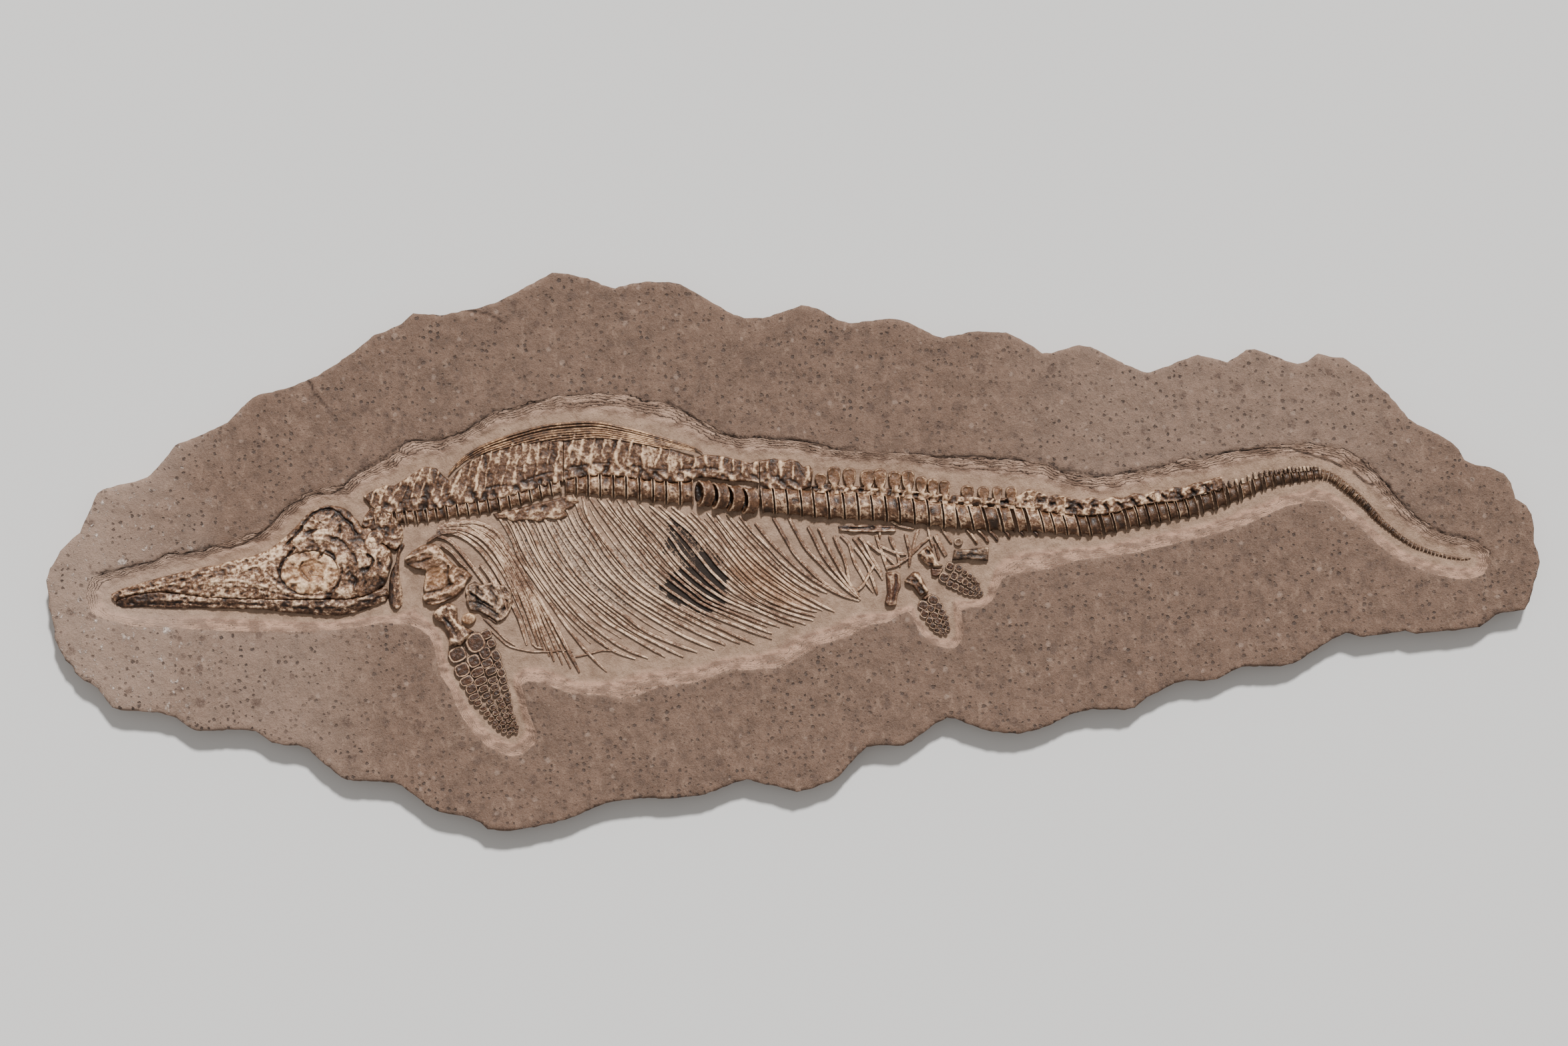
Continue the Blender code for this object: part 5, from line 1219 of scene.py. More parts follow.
def trace(points, step=ROD_STEP):
    """A smooth line through drawn points (each with any extra values carried along)."""
    pts = np.array([points[0]] + list(points) + [points[-1]], float)
    line = []
    for k in range(1, len(pts) - 2):
        a, b, c, d = pts[k - 1], pts[k], pts[k + 1], pts[k + 2]
        count = max(2, int(np.hypot(*(c - b)[:2]) / step))
        for n in range(count):
            t = n / count
            line.append(0.5 * (2 * b + (c - a) * t + (2 * a - 5 * b + 4 * c - d) * t * t
                               + (3 * b - 3 * c + d - a) * t ** 3))
    line.append(pts[-2])
    return np.array(line)


def section_of(points):
    """The cross-section a long bone is drawn with, in half widths."""
    curve = bpy.data.curves.new("section", "CURVE")
    curve.dimensions = "2D"
    curve.fill_mode = "NONE"
    spline = curve.splines.new("POLY")
    spline.points.add(len(points) - 1)
    for point, (px, py) in zip(spline.points, points):
        point.co = (px * MM, py * MM, 0.0, 1.0)
    spline.use_cyclic_u = True
    return placed("section", curve)


def rods(lines, section, seed, level, contrast, jitter=0.22):
    """Long thin bones: lines of x, y, half width and lift drawn with one section, then worn a little, with
    painted light and shade on their sides.
    """
    curve = bpy.data.curves.new("rod_lines", "CURVE")
    curve.dimensions = "3D"
    curve.twist_mode = "Z_UP"
    curve.bevel_mode = "OBJECT"
    curve.bevel_object = section
    curve.use_fill_caps = True
    for line in lines:
        spline = curve.splines.new("POLY")
        spline.points.add(len(line) - 1)
        for point, (x, y, half, lift) in zip(spline.points, line):
            point.co = (*plan(x, y, BED + lift), 1.0)
            point.radius = half
    guide = placed("rod_lines", curve)
    drawn = bpy.data.meshes.new_from_object(guide.evaluated_get(bpy.context.evaluated_depsgraph_get()))
    bpy.data.objects.remove(guide, do_unlink=True)
    bm = bmesh.new()
    bm.from_mesh(drawn)
    bpy.data.meshes.remove(drawn)
    bmesh.ops.recalc_face_normals(bm, faces=bm.faces[:])
    tone = bm.verts.layers.float_color.new("bone")
    x, y = plan_xy(bm.verts)
    sides = len(section.data.splines[0].points)
    place = np.arange(len(bm.verts))
    down = (place // sides) * ROD_STEP
    crest = np.array([point.co.y / MM for point in section.data.splines[0].points])[place % sides]
    n = np.array([v.normal[:] for v in bm.verts])
    side = place % sides
    streak = bumps(down, 37.0 * side, 11.0, seed) + 0.6 * bumps(down, 19.0 * side, 4.0, seed + 3)
    worn_off = bumps(x, y, 31.0, seed + 5)
    grit = bumps(down, 11.0 * side, 2.7, seed + 7)
    # Painted light and shade: the side whose normal faces the key light is painted paler, the far flank and
    # the furrow darker.
    lit = 0.45 * n[:, 0] + 0.65 * n[:, 1]
    ridge = (crest - 1.0) * 1.3
    pale = level + contrast * (lit + ridge) + 0.20 * streak + 0.28 * worn_off + 0.12 * grit
    black, brown, crust, rust, _ = zones(x, y)
    pale = pale - 0.10 * black - 0.10 * brown + 0.14 * crust + 0.06 * rust
    deep = np.clip(-1.2 * lit - 1.1 * ridge - 0.15 + 0.3 * black, 0.0, 1.0)
    ochre = np.clip(0.3 * worn_off + 0.7 * rust + 0.3 * crust, 0.0, 1.0)
    for k, vert in enumerate(bm.verts):
        vert.co += vert.normal * (jitter * (0.7 * streak[k] + 0.7 * grit[k]) * MM)
        vert[tone] = (min(max(pale[k], 0.0), 1.0), deep[k], ochre[k], 1.0)
    bmesh.ops.remove_doubles(bm, verts=bm.verts[:], dist=1e-6)
    return bm


def tapered(points, half, head, tip, lift):
    """A smooth line with half widths: wider or narrower at the head, thinner at the tip."""
    line = trace(points)
    count = len(line)
    rows = []
    for k, (x, y) in enumerate(line):
        t = k / (count - 1)
        wide = half * (head + (1.0 - head) * float(ease(t / 0.12)))
        wide *= 1.0 - (1.0 - tip) * float(ease((t - 0.86) / 0.14))
        rows.append((x, y, wide, lift))
    return rows


rib_section = section_of([
    (-1.0, 0.0), (1.0, 0.0), (1.0, 0.55), (0.84, 1.0), (0.58, 1.22), (0.30, 1.02), (0.02, 1.2), (-0.3, 0.95),
    (-0.62, 1.05), (-0.92, 0.5),
])
round_section = section_of([
    (-0.7, 0.0), (0.7, 0.0), (1.0, 0.5), (0.92, 1.1), (0.5, 1.55), (-0.1, 1.6), (-0.65, 1.3), (-0.98, 0.7),
])
CHEVRONS = [
    (1449, 794, 1465, 815), (1466, 795, 1482, 813.5), (1482, 795, 1496, 811), (1505, 795, 1514, 807),
    (1527, 795, 1535, 803.5), (1548, 795, 1556, 803.5),
]
spurs = []
for x1, y1, x2, y2 in CHEVRONS:
    spurs.append(tapered([(x1, y1), (0.5 * (x1 + x2) + 1.5, 0.5 * (y1 + y2)), (x2, y2)], 2.5, 0.9, 0.6, 0.2))
tail_parts.append(rods(spurs, round_section, 521, 0.14, 0.3))
finish_piece(gather(tail_parts), "tail_vertebrae_front", glossy_bone, ["tail_backbone_front"])
tail_bone = bone("tail_bone", 0.28, (26, 17, 12), (82, 56, 40), (232, 196, 160), 0.5)
tail_parts = leaning_run(TAIL_MIDDLE_ROWS, 0.26, 0.84, 0.76, 0.21, 541, 0.4)
finish_piece(gather(tail_parts), "tail_vertebrae_middle", tail_bone, ["tail_backbone_middle"])
tail_parts = leaning_run(TAIL_REAR_ROWS, 0.22, 0.82, 0.70, 0.15, 571, 0.3)
spikes = []
for k, (x, back, _) in enumerate(TAIL_REAR_ROWS[:-1]):
    for share in (0.3, 0.8):
        px = x + share * (TAIL_REAR_ROWS[k + 1][0] - x)
        py = back + share * (TAIL_REAR_ROWS[k + 1][1] - back)
        tall = (9.5 - 0.5 * k) * (0.8 + 0.3 * float(bumps(px, py, 7.0, 583)))
        spike = [(px, py + 3.0), (px - 1.0, py - 0.4 * tall), (px - 2.0, py - tall)]
        spikes.append(tapered(spike, 2.5, 1.0, 0.8, 2.5))
tail_parts.append(rods(spikes, rib_section, 587, 0.62, 0.4))
finish_piece(gather(tail_parts), "tail_vertebrae_rear", tail_bone, ["tail_backbone_rear"])

# Tail end. The tail bends sharply down and runs out in tiny drums hardly longer than a grain of rice,
# with two places where the row is broken.
tip_line = trace(TAIL_TIP_LINE, 5.4)
tip_rows = []
tip_cuts = []
for k, (x, y, half) in enumerate(tip_line):
    ahead = tip_line[min(k + 1, len(tip_line) - 1)]
    behind = tip_line[max(k - 1, 0)]
    dx, dy = ahead[0] - behind[0], ahead[1] - behind[1]
    size = math.hypot(dx, dy)
    tip_cuts.append((x + dy / size * half, y - dx / size * half, x - dy / size * half, y + dx / size * half))
    tip_rows.append((x, y - half, y + half))
tail_parts = run_of(tip_rows, tip_cuts, 1.0, 0.80, 0.26, 601, 0.0)
finish_piece(gather(tail_parts), "tail_end_vertebrae", tail_bone, ["tail_tip"])

# Four loose vertebrae behind the trunk, tipped over like fallen coins, so that each shows a hollow brown
# face, darkened with painted shade, with a white rim and a painted highlight across its far side; at the
# left of each lies a low flat disc painted black as a shadow crescent.
COIN_PROFILE = (
    (-0.46, 0.0), (-0.5, 0.25), (-0.62, 0.5), (-0.84, 0.78), (-1.0, 0.93), (-0.9, 1.0), (-0.6, 0.99),
    (-0.1, 0.93), (0.4, 0.95), (0.7, 1.0), (0.84, 0.96), (0.7, 0.7), (0.5, 0.3), (0.45, 0.0),
)
COIN_LEAN = math.radians(27.0)
COIN_X_STEP = 22.3
COIN_Y_STEP = 3.6


def tipped(cx, cy, seed):
    """A coin-shaped drum that leans back, hollow face up and to the left."""
    bm = bmesh.new()
    tone = bm.verts.layers.float_color.new("bone")
    spun(bm, [(t, 0.0, r) for t, r in COIN_PROFILE], 2.0 * math.pi, 40)
    for vert in bm.verts:
        t, c, s = vert.co
        out = math.hypot(c, s)
        face = ease((-t - 0.4) / 0.1) * ease((0.95 - out) / 0.1)
        # The rim round the hollow face is pale, and a band across the far side is a painted highlight.
        rim = math.exp(-((t + 0.95) / 0.12) ** 2) * float(ease((out - 0.8) / 0.1))
        rim += 0.6 * math.exp(-((t - 0.75) / 0.12) ** 2)
        wear = float(rough(t * 6 + seed, c * 9 + 5 * s, 4.0, seed, 3))
        ax = 10.2 * t * math.cos(COIN_LEAN) + 12.5 * s * math.sin(COIN_LEAN)
        az = 13.0 * s * math.cos(COIN_LEAN) - 10.2 * t * math.sin(COIN_LEAN)
        x = cx + ax + 3.8 * (1.0 - c * c)
        y = cy + 20.0 * c
        vert.co = plan(x, y, max(BED - 0.2, BED + 5.0 + az + 0.4 * wear))
        # Painted shade in the hollow face and on the underside.
        deep = 0.5 * float(face) * (0.6 + 0.4 * c) + 0.9 * float(ease((-az - 1.0) / 5.0))
        pale = 0.30 + 0.42 * rim + 0.25 * wear
        vert[tone] = (min(1.0, max(0.0, pale)), min(1.0, max(0.0, deep)), 0.1, 1.0)
    return bm


# A flat disc painted nearly black, standing in for shadow.
def shadow_disc_height(x, y):
    flat = np.ones_like(x)
    return (BED + 3.0) * flat, 0.1 * flat, 0.95 * flat


for k in range(4):
    # A low flat disc painted black beside each coin, as its shadow crescent.
    socket = oval(1049.4 + COIN_X_STEP * k, 738.0 + COIN_Y_STEP * k, 8.8, 18.5, 24)
    hollow = relief_form(socket, shadow_disc_height, 3.0, 1.0)
    coin = gather([tipped(1055.0 + COIN_X_STEP * k, 740.0 + COIN_Y_STEP * k, 640 + 11 * k), hollow])
    finish_piece(coin, f"fallen_vertebra_{k + 1}", glossy_bone, [f"tilted_vertebra_{k + 1}"])

# Spines over the neck and trunk. Flat upright processes crushed side by side into a wall: brown hollowed
# panels between crinkled cream ridges, and a row of knobbly arches where they meet the vertebrae.
NECK_CREST = [
    (544, 744), (550, 740), (564, 732.5), (576, 727), (590, 728), (607, 717), (627, 704), (638, 699),
    (654, 702), (664, 713), (673, 720), (684, 708), (702, 691.5), (732, 675.5), (770, 662.5), (800, 656.5),
    (844, 649), (844, 722), (804, 733), (762, 745), (722, 753), (680, 759), (640, 766), (600, 769),
    (572, 770), (556, 762),
]
TRUNK_CREST = [
    (845, 649), (868, 647), (900, 648), (940, 654), (980, 664), (1020, 678), (1040, 686), (1056, 681),
    (1080, 683), (1105, 689), (1125, 694), (1138, 689), (1137.5, 724), (1118, 722), (1098, 722),
    (1076, 719), (1056, 716), (1042, 716.5), (1036, 722), (1000, 724), (960, 719), (920, 714), (880, 714),
    (845, 720),
]
REAR_CREST = [
    (1139, 690), (1160, 687), (1176, 691), (1184, 688), (1197, 692), (1204, 700), (1213, 697), (1219, 706),
    (1216, 730), (1200, 736), (1160, 735), (1139.6, 735),
]
REAR_SPINES = [
    (1230, 709, 8, 740), (1250, 699, 9, 742), (1273, 701, 9, 742), (1300, 704, 10, 744),
    (1319, 702, 9, 745), (1341, 706, 9, 747), (1361, 705, 9, 749), (1381, 714, 8, 751), (1398, 717, 8, 754),
    (1416, 720, 7.5, 757),
]
TAIL_SPINES = [
    (1450, 727, 9, 760), (1474, 729, 8, 762), (1495, 729, 7, 763), (1516, 729, 8, 764), (1545, 733, 9, 768),
    (1590, 742, 8, 774),
]
BACK_LINE = NECK_ROWS + TRUNK_FRONT_ROWS + [(1056, 716), (1137, 724)] + TRUNK_REAR_ROWS
WALL_START = 845.0
TRUNK_STEP = 19.4


def wall_height(x, y):
    """Height of the wall of spines above the back line of the vertebrae."""
    above = along(x, BACK_LINE) - y
    lean = np.interp(x, [560, 660, 800, 1100, 1200], [0.5, 0.3, 0.2, 0.05, -0.12])
    u = (x - lean * above - WALL_START) / np.where(x < WALL_START, NECK_STEP, TRUNK_STEP)
    u = u + 0.24 * rough(x, y, 26.0, 701, 2) + 0.05 * bumps(x, y, 6.0, 703)
    w = np.abs(u - np.floor(u) - 0.5) * 2.0
    wide = 0.24 + 0.14 * bumps(x, y, 13.0, 705)
    ridge = bell(w, 1.0, wide) * (0.5 + 0.5 * rise(bumps(x, y, 10.0, 707), -0.5, 0.7))
    slit = bell(w, 0.58, 0.07) * rise(bumps(x, y, 9.0, 709), 0.0, 0.3)
    crinkle = 1.1 * rough(x, y * 0.5, 7.5, 711, 4) + 0.9 * creased(x, y, 10.0, 715, 3)
    arch = ease((15.0 - above) / 7.0)
    knobs = arch * (1.7 * rough(x, y * 0.8, 7.5, 719, 3) + 0.9 * np.cos(2.0 * math.pi * u + 0.35 * above))
    slot = bell(above - 13.5, 2.0 * bumps(x, y, 19.0, 723), 1.5) * rise(bumps(x, y, 14.0, 725), 0.05, 0.3)
    detail = (1.0 - arch) * (1.7 * ridge - 1.5 * slit) + crinkle + knobs - 2.0 * slot
    pale = 0.36 + 0.22 * detail + 0.12 * ridge + 0.16 * bumps(x, y, 16.0, 727)
    return BED + 7.3 + detail, pale, cleft_shade(detail, 0.32, 0.36)


crest_bone = bone("crest_bone", 0.33, (44, 29, 20), (108, 74, 51), (242, 204, 166), 0.55)
relief("neck_spines", NECK_CREST, wall_height, 1.35, 3.0, crest_bone, ["neck_backbone"])
relief("trunk_spines", TRUNK_CREST, wall_height, 1.35, 3.0, crest_bone, ["trunk_backbone_front"])


def lobe(cx, top, half, foot):
    """Outline of one free spine: a rounded head, a waist and a flared foot."""
    waist = top + 0.60 * (foot - top)
    sides = (
        (-0.85, foot), (-0.62, foot - 4), (-0.5, waist + 2), (-0.82, waist - 4), (-1.0, top + 0.8 * half),
        (-0.86, top + 0.35 * half), (-0.5, top + 0.06 * half), (0.0, top), (0.5, top + 0.05 * half),
        (0.88, top + 0.32 * half), (1.0, top + 0.8 * half), (0.86, waist - 4), (0.56, waist + 2),
        (0.75, foot - 4), (1.0, foot),
    )
    return [(cx + share * half, y) for share, y in sides]


def spine_height(cx, top, half, foot, seed):
    """A free spine: dished brown head inside a pale rim, a raised ridge down the waist painted bright as a
    highlight, and a slot painted dark as shade.
    """
    loop = lobe(cx, top, half, foot)

    def height(x, y):
        edge = np.maximum(reach(x, y, loop), 0.0)
        lip = bell(edge, 1.5, 1.2)
        crinkle = rough(x, y * 0.7, 6.0, seed, 3)
        down = (y - top) / (foot - top)
        ridge = bell(x - cx, 0.2 * half, 0.35 * half) * rise(down, 0.45, 0.2)
        slot = bell(down, 0.83, 0.06)
        detail = 1.1 * crinkle + 1.3 * lip + 1.9 * ridge - 2.4 * slot
        # The ridge is painted bright as a highlight; the slot and the crinkles' hollows are painted dark as
        # shade.
        pale = 0.30 + 0.34 * lip + 0.42 * ridge + 0.2 * crinkle
        deep = np.clip(0.75 * slot - 0.3 * crinkle - 0.1, 0.0, 1.0)
        return BED + 7.4 + detail, pale, deep, 0.35 * (1.0 - lip)
    return height


def free_spines(rows, seed):
    """Spines that stand free of each other, a little wider than their drawn half widths."""
    parts = []
    for k, (cx, top, half, foot) in enumerate(rows):
        shape = (cx, top, half * 1.14, foot)
        parts.append(relief_form(lobe(*shape), spine_height(*shape, seed + 3 * k), 1.25, 2.2))
    return parts


rear_parts = [relief_form(REAR_CREST, wall_height, 1.3, 3.0), *free_spines(REAR_SPINES, 801)]
finish_piece(gather(rear_parts), "rear_spines", crest_bone, ["trunk_backbone_rear"])
finish_piece(gather(free_spines(TAIL_SPINES, 841)), "tail_spines", crest_bone, ["tail_backbone_front"])

# Arches behind the hip. Broken arches and joint knobs crushed into a crinkled band where the rear spines
# meet the vertebrae, with short black slits between them; on the tail the band is all that is left of the
# spines.
ARCH_TOP = [
    (1216, 728), (1240, 724), (1260, 727), (1300, 730), (1350, 733), (1400, 739), (1440, 743), (1500, 747),
    (1524, 743), (1536, 736), (1548, 734), (1560, 737), (1572, 744), (1584, 741), (1600, 745), (1620, 750),
    (1636, 745), (1652, 749), (1668, 744), (1684, 747), (1700, 739), (1716, 741), (1733, 734), (1748, 735),
    (1760, 730), (1775, 731), (1790, 724), (1806, 722), (1822, 716), (1832, 714),
]
ARCH_FOOT = [
    (1834, 732), (1820, 737), (1800, 742), (1764, 752), (1735, 754), (1704, 759), (1668, 770), (1632, 774),
    (1600, 772), (1561, 767), (1520, 761), (1454, 758), (1412, 754), (1369, 748), (1306, 742), (1264, 740),
    (1219, 737),
]
SLITS = [
    (1218, 731, 1232, 731), (1245, 737, 1252, 737), (1290, 735, 1303, 734), (1316, 738, 1321, 737),
    (1370, 742, 1375, 742), (1413, 748, 1418, 748), (1437, 754, 1442, 754), (1481, 757, 1492, 758),
    (1536, 752, 1545, 751), (1557, 752, 1563, 752), (1576, 755, 1584, 754), (1598, 763, 1603, 762),
    (1638, 759, 1643, 758), (1500, 752, 1512, 753), (1336, 742, 1350, 741), (1392, 749, 1400, 749),
    (1617, 757, 1622, 763), (1655, 757, 1661, 764), (1676, 754, 1682, 761), (1697, 749, 1703, 756),
    (1720, 746, 1726, 751), (1742, 742, 1748, 748), (1765, 739, 1771, 745), (1786, 734, 1792, 740),
    (1806, 728, 1812, 735),
]


def arch_height(x, y):
    knobs = rough(x, y, 6.5, 891, 3)
    creases = creased(x + 0.4 * y, y, 9.0, 893, 3)
    drawn = strokes(x, y, [([(ax, ay), (bx, by)], 1.7, -4.2) for ax, ay, bx, by in SLITS])
    detail = 1.5 * knobs + 2.0 * creases + drawn
    pale = 0.40 + 0.26 * detail + 0.2 * bumps(x, y, 14.0, 897)
    return BED + 7.0 + detail, pale, cleft_shade(detail, 0.34, 0.2)


relief("spine_arches", ARCH_TOP + ARCH_FOOT, arch_height, 1.3, 2.4, crest_bone,
       ["trunk_backbone_rear", "tail_backbone_front", "tail_backbone_middle"])
THROAT = [
    (541, 787), (546, 772), (556, 760), (570, 757), (584, 768), (598, 782), (603, 794), (604, 806),
    (600, 819), (592, 827), (583, 822), (568, 812), (556, 797),
]
relief("throat_bits", THROAT, arch_height, 1.3, 2.6, crest_bone, ["neck_boss"])

# Crushed bits below the rear of the neck: broken arches and rib heads pressed into a lumpy band that covers
# the ends of the first ribs.
CRUSHED = [
    (738, 770), (752, 768), (770, 764), (790, 758), (810, 753), (830, 748), (846, 744), (862, 745),
    (868, 752), (858, 760), (846, 766), (850, 774), (838, 780), (820, 777), (806, 783), (790, 779),
    (772, 783), (758, 778), (744, 778),
]


def crushed_height(x, y):
    lumps = 1.3 * rough(x, y, 12.0, 741, 3)
    shards = creased(x * 0.7 + y * 0.5, y, 10.0, 745, 3)
    detail = lumps + 1.5 * shards
    return BED + 4.2 + detail, 0.44 + 0.2 * detail, cleft_shade(detail, 0.4, 0.3)


relief("crushed_neck_bits", CRUSHED, crushed_height, 1.3, 3.0, crest_bone, ["neck_backbone"])

# Back tendons. A sheaf of thin bony strands that runs over the tops of the trunk spines, dark and glossy,
# the outermost one standing clear of the rest.
TENDON_LINE = [
    (672, 711), (683, 697), (700, 682), (731, 665), (780, 648), (820, 638), (868, 633.5), (900, 634.5),
    (950, 645), (1000, 659), (1040, 671), (1053, 679),
]
STRANDS = (
    (0.0, 0, 12, 2.0, 2.5), (4.2, 0, 12, 1.6, 2.5), (9.0, 1, 11, 1.6, 7.2), (12.6, 2, 11, 1.6, 7.2),
    (16.0, 3, 11, 1.6, 7.2), (19.6, 4, 10, 1.6, 7.2), (23.2, 5, 10, 1.6, 7.2),
)
strands = []
for drop, start, end, half, lift in STRANDS:
    points = []
    for n in range(start, end):
        x, y = TENDON_LINE[n]
        spread = math.sin(math.pi * (n + 0.6) / 12.2)
        points.append((x + 0.3 * drop * spread, y + drop * spread))
    strands.append(tapered(points, half, 0.6, 0.4, lift))
tendon_bone = bone("tendon_bone", 0.4, (48, 31, 20), (122, 85, 57), (226, 182, 138))
finish_piece(rods(strands, round_section, 871, 0.24, 0.36, 0.12), "tendon_strands", tendon_bone,
             ["back_tendons"])

# Ribs. Long curved rods with a furrow down their length, cream on the crest and painted paler on the side
# facing the light, with painted shade on the flank turned away and in the furrow, that sweep from the
# backbone to the belly; those by the shoulder lie together in a bundle.
FRONT_BUNDLE = [
    [(654, 797), (682, 800), (708, 815), (731, 840), (750, 870), (766, 903), (779, 932), (789, 967)],
    [(656, 791), (690, 793), (722, 807), (749, 837), (768, 868), (785, 905), (797, 938), (806, 967)],
    [(666, 787), (702, 787), (736, 802), (760, 831), (779, 865), (799, 905), (815, 948), (830, 991)],
    [(654, 802), (674, 811), (692, 830), (714, 857), (732, 882), (749, 908)],
    [(688, 783), (716, 783.5), (744, 798), (767, 831), (791, 871), (816, 911), (840, 953), (868, 1008)],
]
RIBS = [
    [(749, 778), (757, 790), (768, 811), (778, 837), (799, 868), (829, 911), (857, 950), (881, 979),
     (909, 1007)],
    [(760, 776), (769, 792), (782, 822), (799, 852), (828, 893), (863, 932), (896, 960), (923, 977),
     (952, 988)],
    [(773, 776), (785, 795), (799, 824), (817, 855), (844, 893), (873, 926), (916, 960), (944, 976),
     (971, 987)],
    [(787, 778), (800, 804), (812, 832), (831, 858), (851, 879), (879, 905), (909, 932), (937, 949),
     (997, 985)],
    [(801, 778), (814, 806), (828, 833), (847, 858), (868, 881), (895, 905), (922, 926), (949, 946),
     (1024, 985)],
    [(816, 778), (829, 803), (843, 828), (860, 854), (881, 878), (907, 901), (940, 926), (974, 950),
     (1045, 978)],
    [(834, 776), (852, 806), (873, 834), (891, 858), (913, 879), (943, 904), (983, 930), (1026, 954),
     (1071, 974)],
    [(851, 768), (866, 797), (884, 823), (901, 847), (921, 870), (948, 893), (983, 915), (1028, 940),
     (1087, 967)],
    [(861, 748), (871, 774), (889, 801), (907, 829), (925, 851), (948, 874), (980, 897), (1029, 926),
     (1109, 965)],
    [(874, 750), (881, 775), (899, 803), (918, 828), (938, 852), (962, 876), (992, 897), (1038, 922),
     (1131, 966)],
    [(887, 751), (904, 775), (923, 801), (942, 826), (962, 850), (988, 874), (1016, 894), (1060, 920),
     (1157, 958)],
    [(900, 752), (918, 774), (939, 799), (958, 822), (979, 847), (1003, 868), (1029, 888), (1058, 908),
     (1157, 950)],
    [(914, 753), (928, 773), (949, 798), (971, 822), (992, 847), (1017, 869), (1041, 888), (1066, 905),
     (1150, 939)],
    [(929, 754), (943, 774), (968, 804), (991, 830), (1017, 860), (1046, 885), (1077, 904), (1114, 919),
     (1169, 940)],
    [(945, 756), (962, 779), (984, 804), (1009, 836), (1029, 857), (1057, 880), (1089, 900), (1128, 917)],
    [(963, 761), (985, 784), (1006, 807), (1022, 830), (1042, 852), (1067, 876), (1094, 896), (1133, 914),
     (1190, 939)],
    [(979, 762), (1002, 782), (1029, 811), (1050, 837), (1070, 861), (1098, 886), (1129, 905), (1165, 921),
     (1208, 936)],
    [(993, 762), (1010, 777), (1036, 799), (1060, 828), (1080, 852), (1108, 878), (1139, 901), (1174, 916),
     (1219, 930)],
    [(1012, 764), (1031, 779), (1051, 801), (1070, 823), (1092, 849), (1118, 876), (1147, 897), (1180, 911),
     (1222, 924)],
    [(1041, 772), (1060, 791), (1080, 814), (1099, 838), (1120, 862), (1142, 880), (1168, 896), (1196, 909),
     (1225, 917)],
    [(1064, 773), (1080, 793), (1099, 819), (1119, 842), (1141, 862), (1168, 880), (1197, 898),
     (1233, 915)],
    [(1078, 777), (1089, 791), (1103, 809), (1122, 828), (1142, 847), (1166, 866), (1192, 885), (1220, 901),
     (1251, 917)],
    [(1094, 776), (1110, 794), (1130, 816), (1150, 837), (1172, 857), (1198, 876), (1228, 893)],
    [(1113, 779), (1130, 799), (1152, 821), (1172, 842), (1194, 860), (1218, 878), (1240, 889)],
]


def rib_rows(index, lines, most):
    """A rib's smooth line, as wide as its neighbours leave room for."""
    (ax, ay), (bx, by) = lines[index][:2]
    size = math.hypot(bx - ax, by - ay) / 7.0
    line = trace([(ax + (ax - bx) / size, ay + (ay - by) / size)] + lines[index], 3.0)
    room = np.full(len(line), np.inf)
    for other in (index - 1, index + 1):
        if 0 <= other < len(lines):
            room = np.minimum(room, ribbon(line[:, 0], line[:, 1], lines[other]))
    t = np.linspace(0.0, 1.0, len(line))
    half = np.clip(0.5 * room - 0.7, 1.25, most)
    half = half * (0.75 + 0.25 * ease(t / 0.07)) * (1.0 - 0.45 * ease((t - 0.9) / 0.1))
    return [(x, y, h, 0.0) for (x, y), h in zip(line, half)]


def thin_row(index, lines):
    """The far side's rib, seen as a thin line half way between two near ones."""
    t = np.linspace(0.03, 0.80, 48)
    mid = np.zeros((48, 2))
    room = np.inf
    for line in lines[index:index + 2]:
        near = trace(line, 3.0)
        places = np.linspace(0.0, 1.0, len(near))
        mid += 0.5 * np.stack([np.interp(t, places, near[:, n]) for n in (0, 1)], axis=1)
    x, y = mid.T
    for line in lines[index:index + 2]:
        room = np.minimum(room, ribbon(x, y, line))
    black, brown = zones(x, y)[:2]
    sunk = np.maximum(black, 0.5 * brown)
    half = np.clip(0.5 * room - 1.2, 0.4, 1.3) * (1.0 - 0.6 * ease((t - 0.66) / 0.14)) * (1.0 - 0.6 * sunk)
    return [(*place, h, 0.2 - 3.0 * dip) for place, h, dip in zip(mid, half, sunk)]


rib_bone = bone("rib_bone", 0.34, (48, 31, 22), (128, 92, 68), (248, 212, 178), 0.5)
RIB_HALF_WIDTH = 2.3
for k in range(len(RIBS)):
    lines = [rib_rows(k, RIBS, RIB_HALF_WIDTH)]
    if k + 1 < len(RIBS):
        lines.append(thin_row(k, RIBS))
    shaft = rods(lines, rib_section, 901 + 3 * k, 0.56, 0.52)
    finish_piece(shaft, f"rib_shaft_{k + 1:02d}", rib_bone, [f"rib_{k + 1:02d}"])
sheaf = [tapered(points, 3.0, 1.35, 0.5, 0.15 * k) for k, points in enumerate(FRONT_BUNDLE)]
for a, b, share in ((0, 1, 0.5), (1, 2, 0.35), (1, 2, 0.7), (2, 4, 0.33), (2, 4, 0.66)):
    pairs = zip(FRONT_BUNDLE[a], FRONT_BUNDLE[b])
    filler = [(px + (qx - px) * share, py + (qy - py) * share) for (px, py), (qx, qy) in pairs]
    sheaf.append(tapered(filler, 2.2, 1.2, 0.5, 0.1))
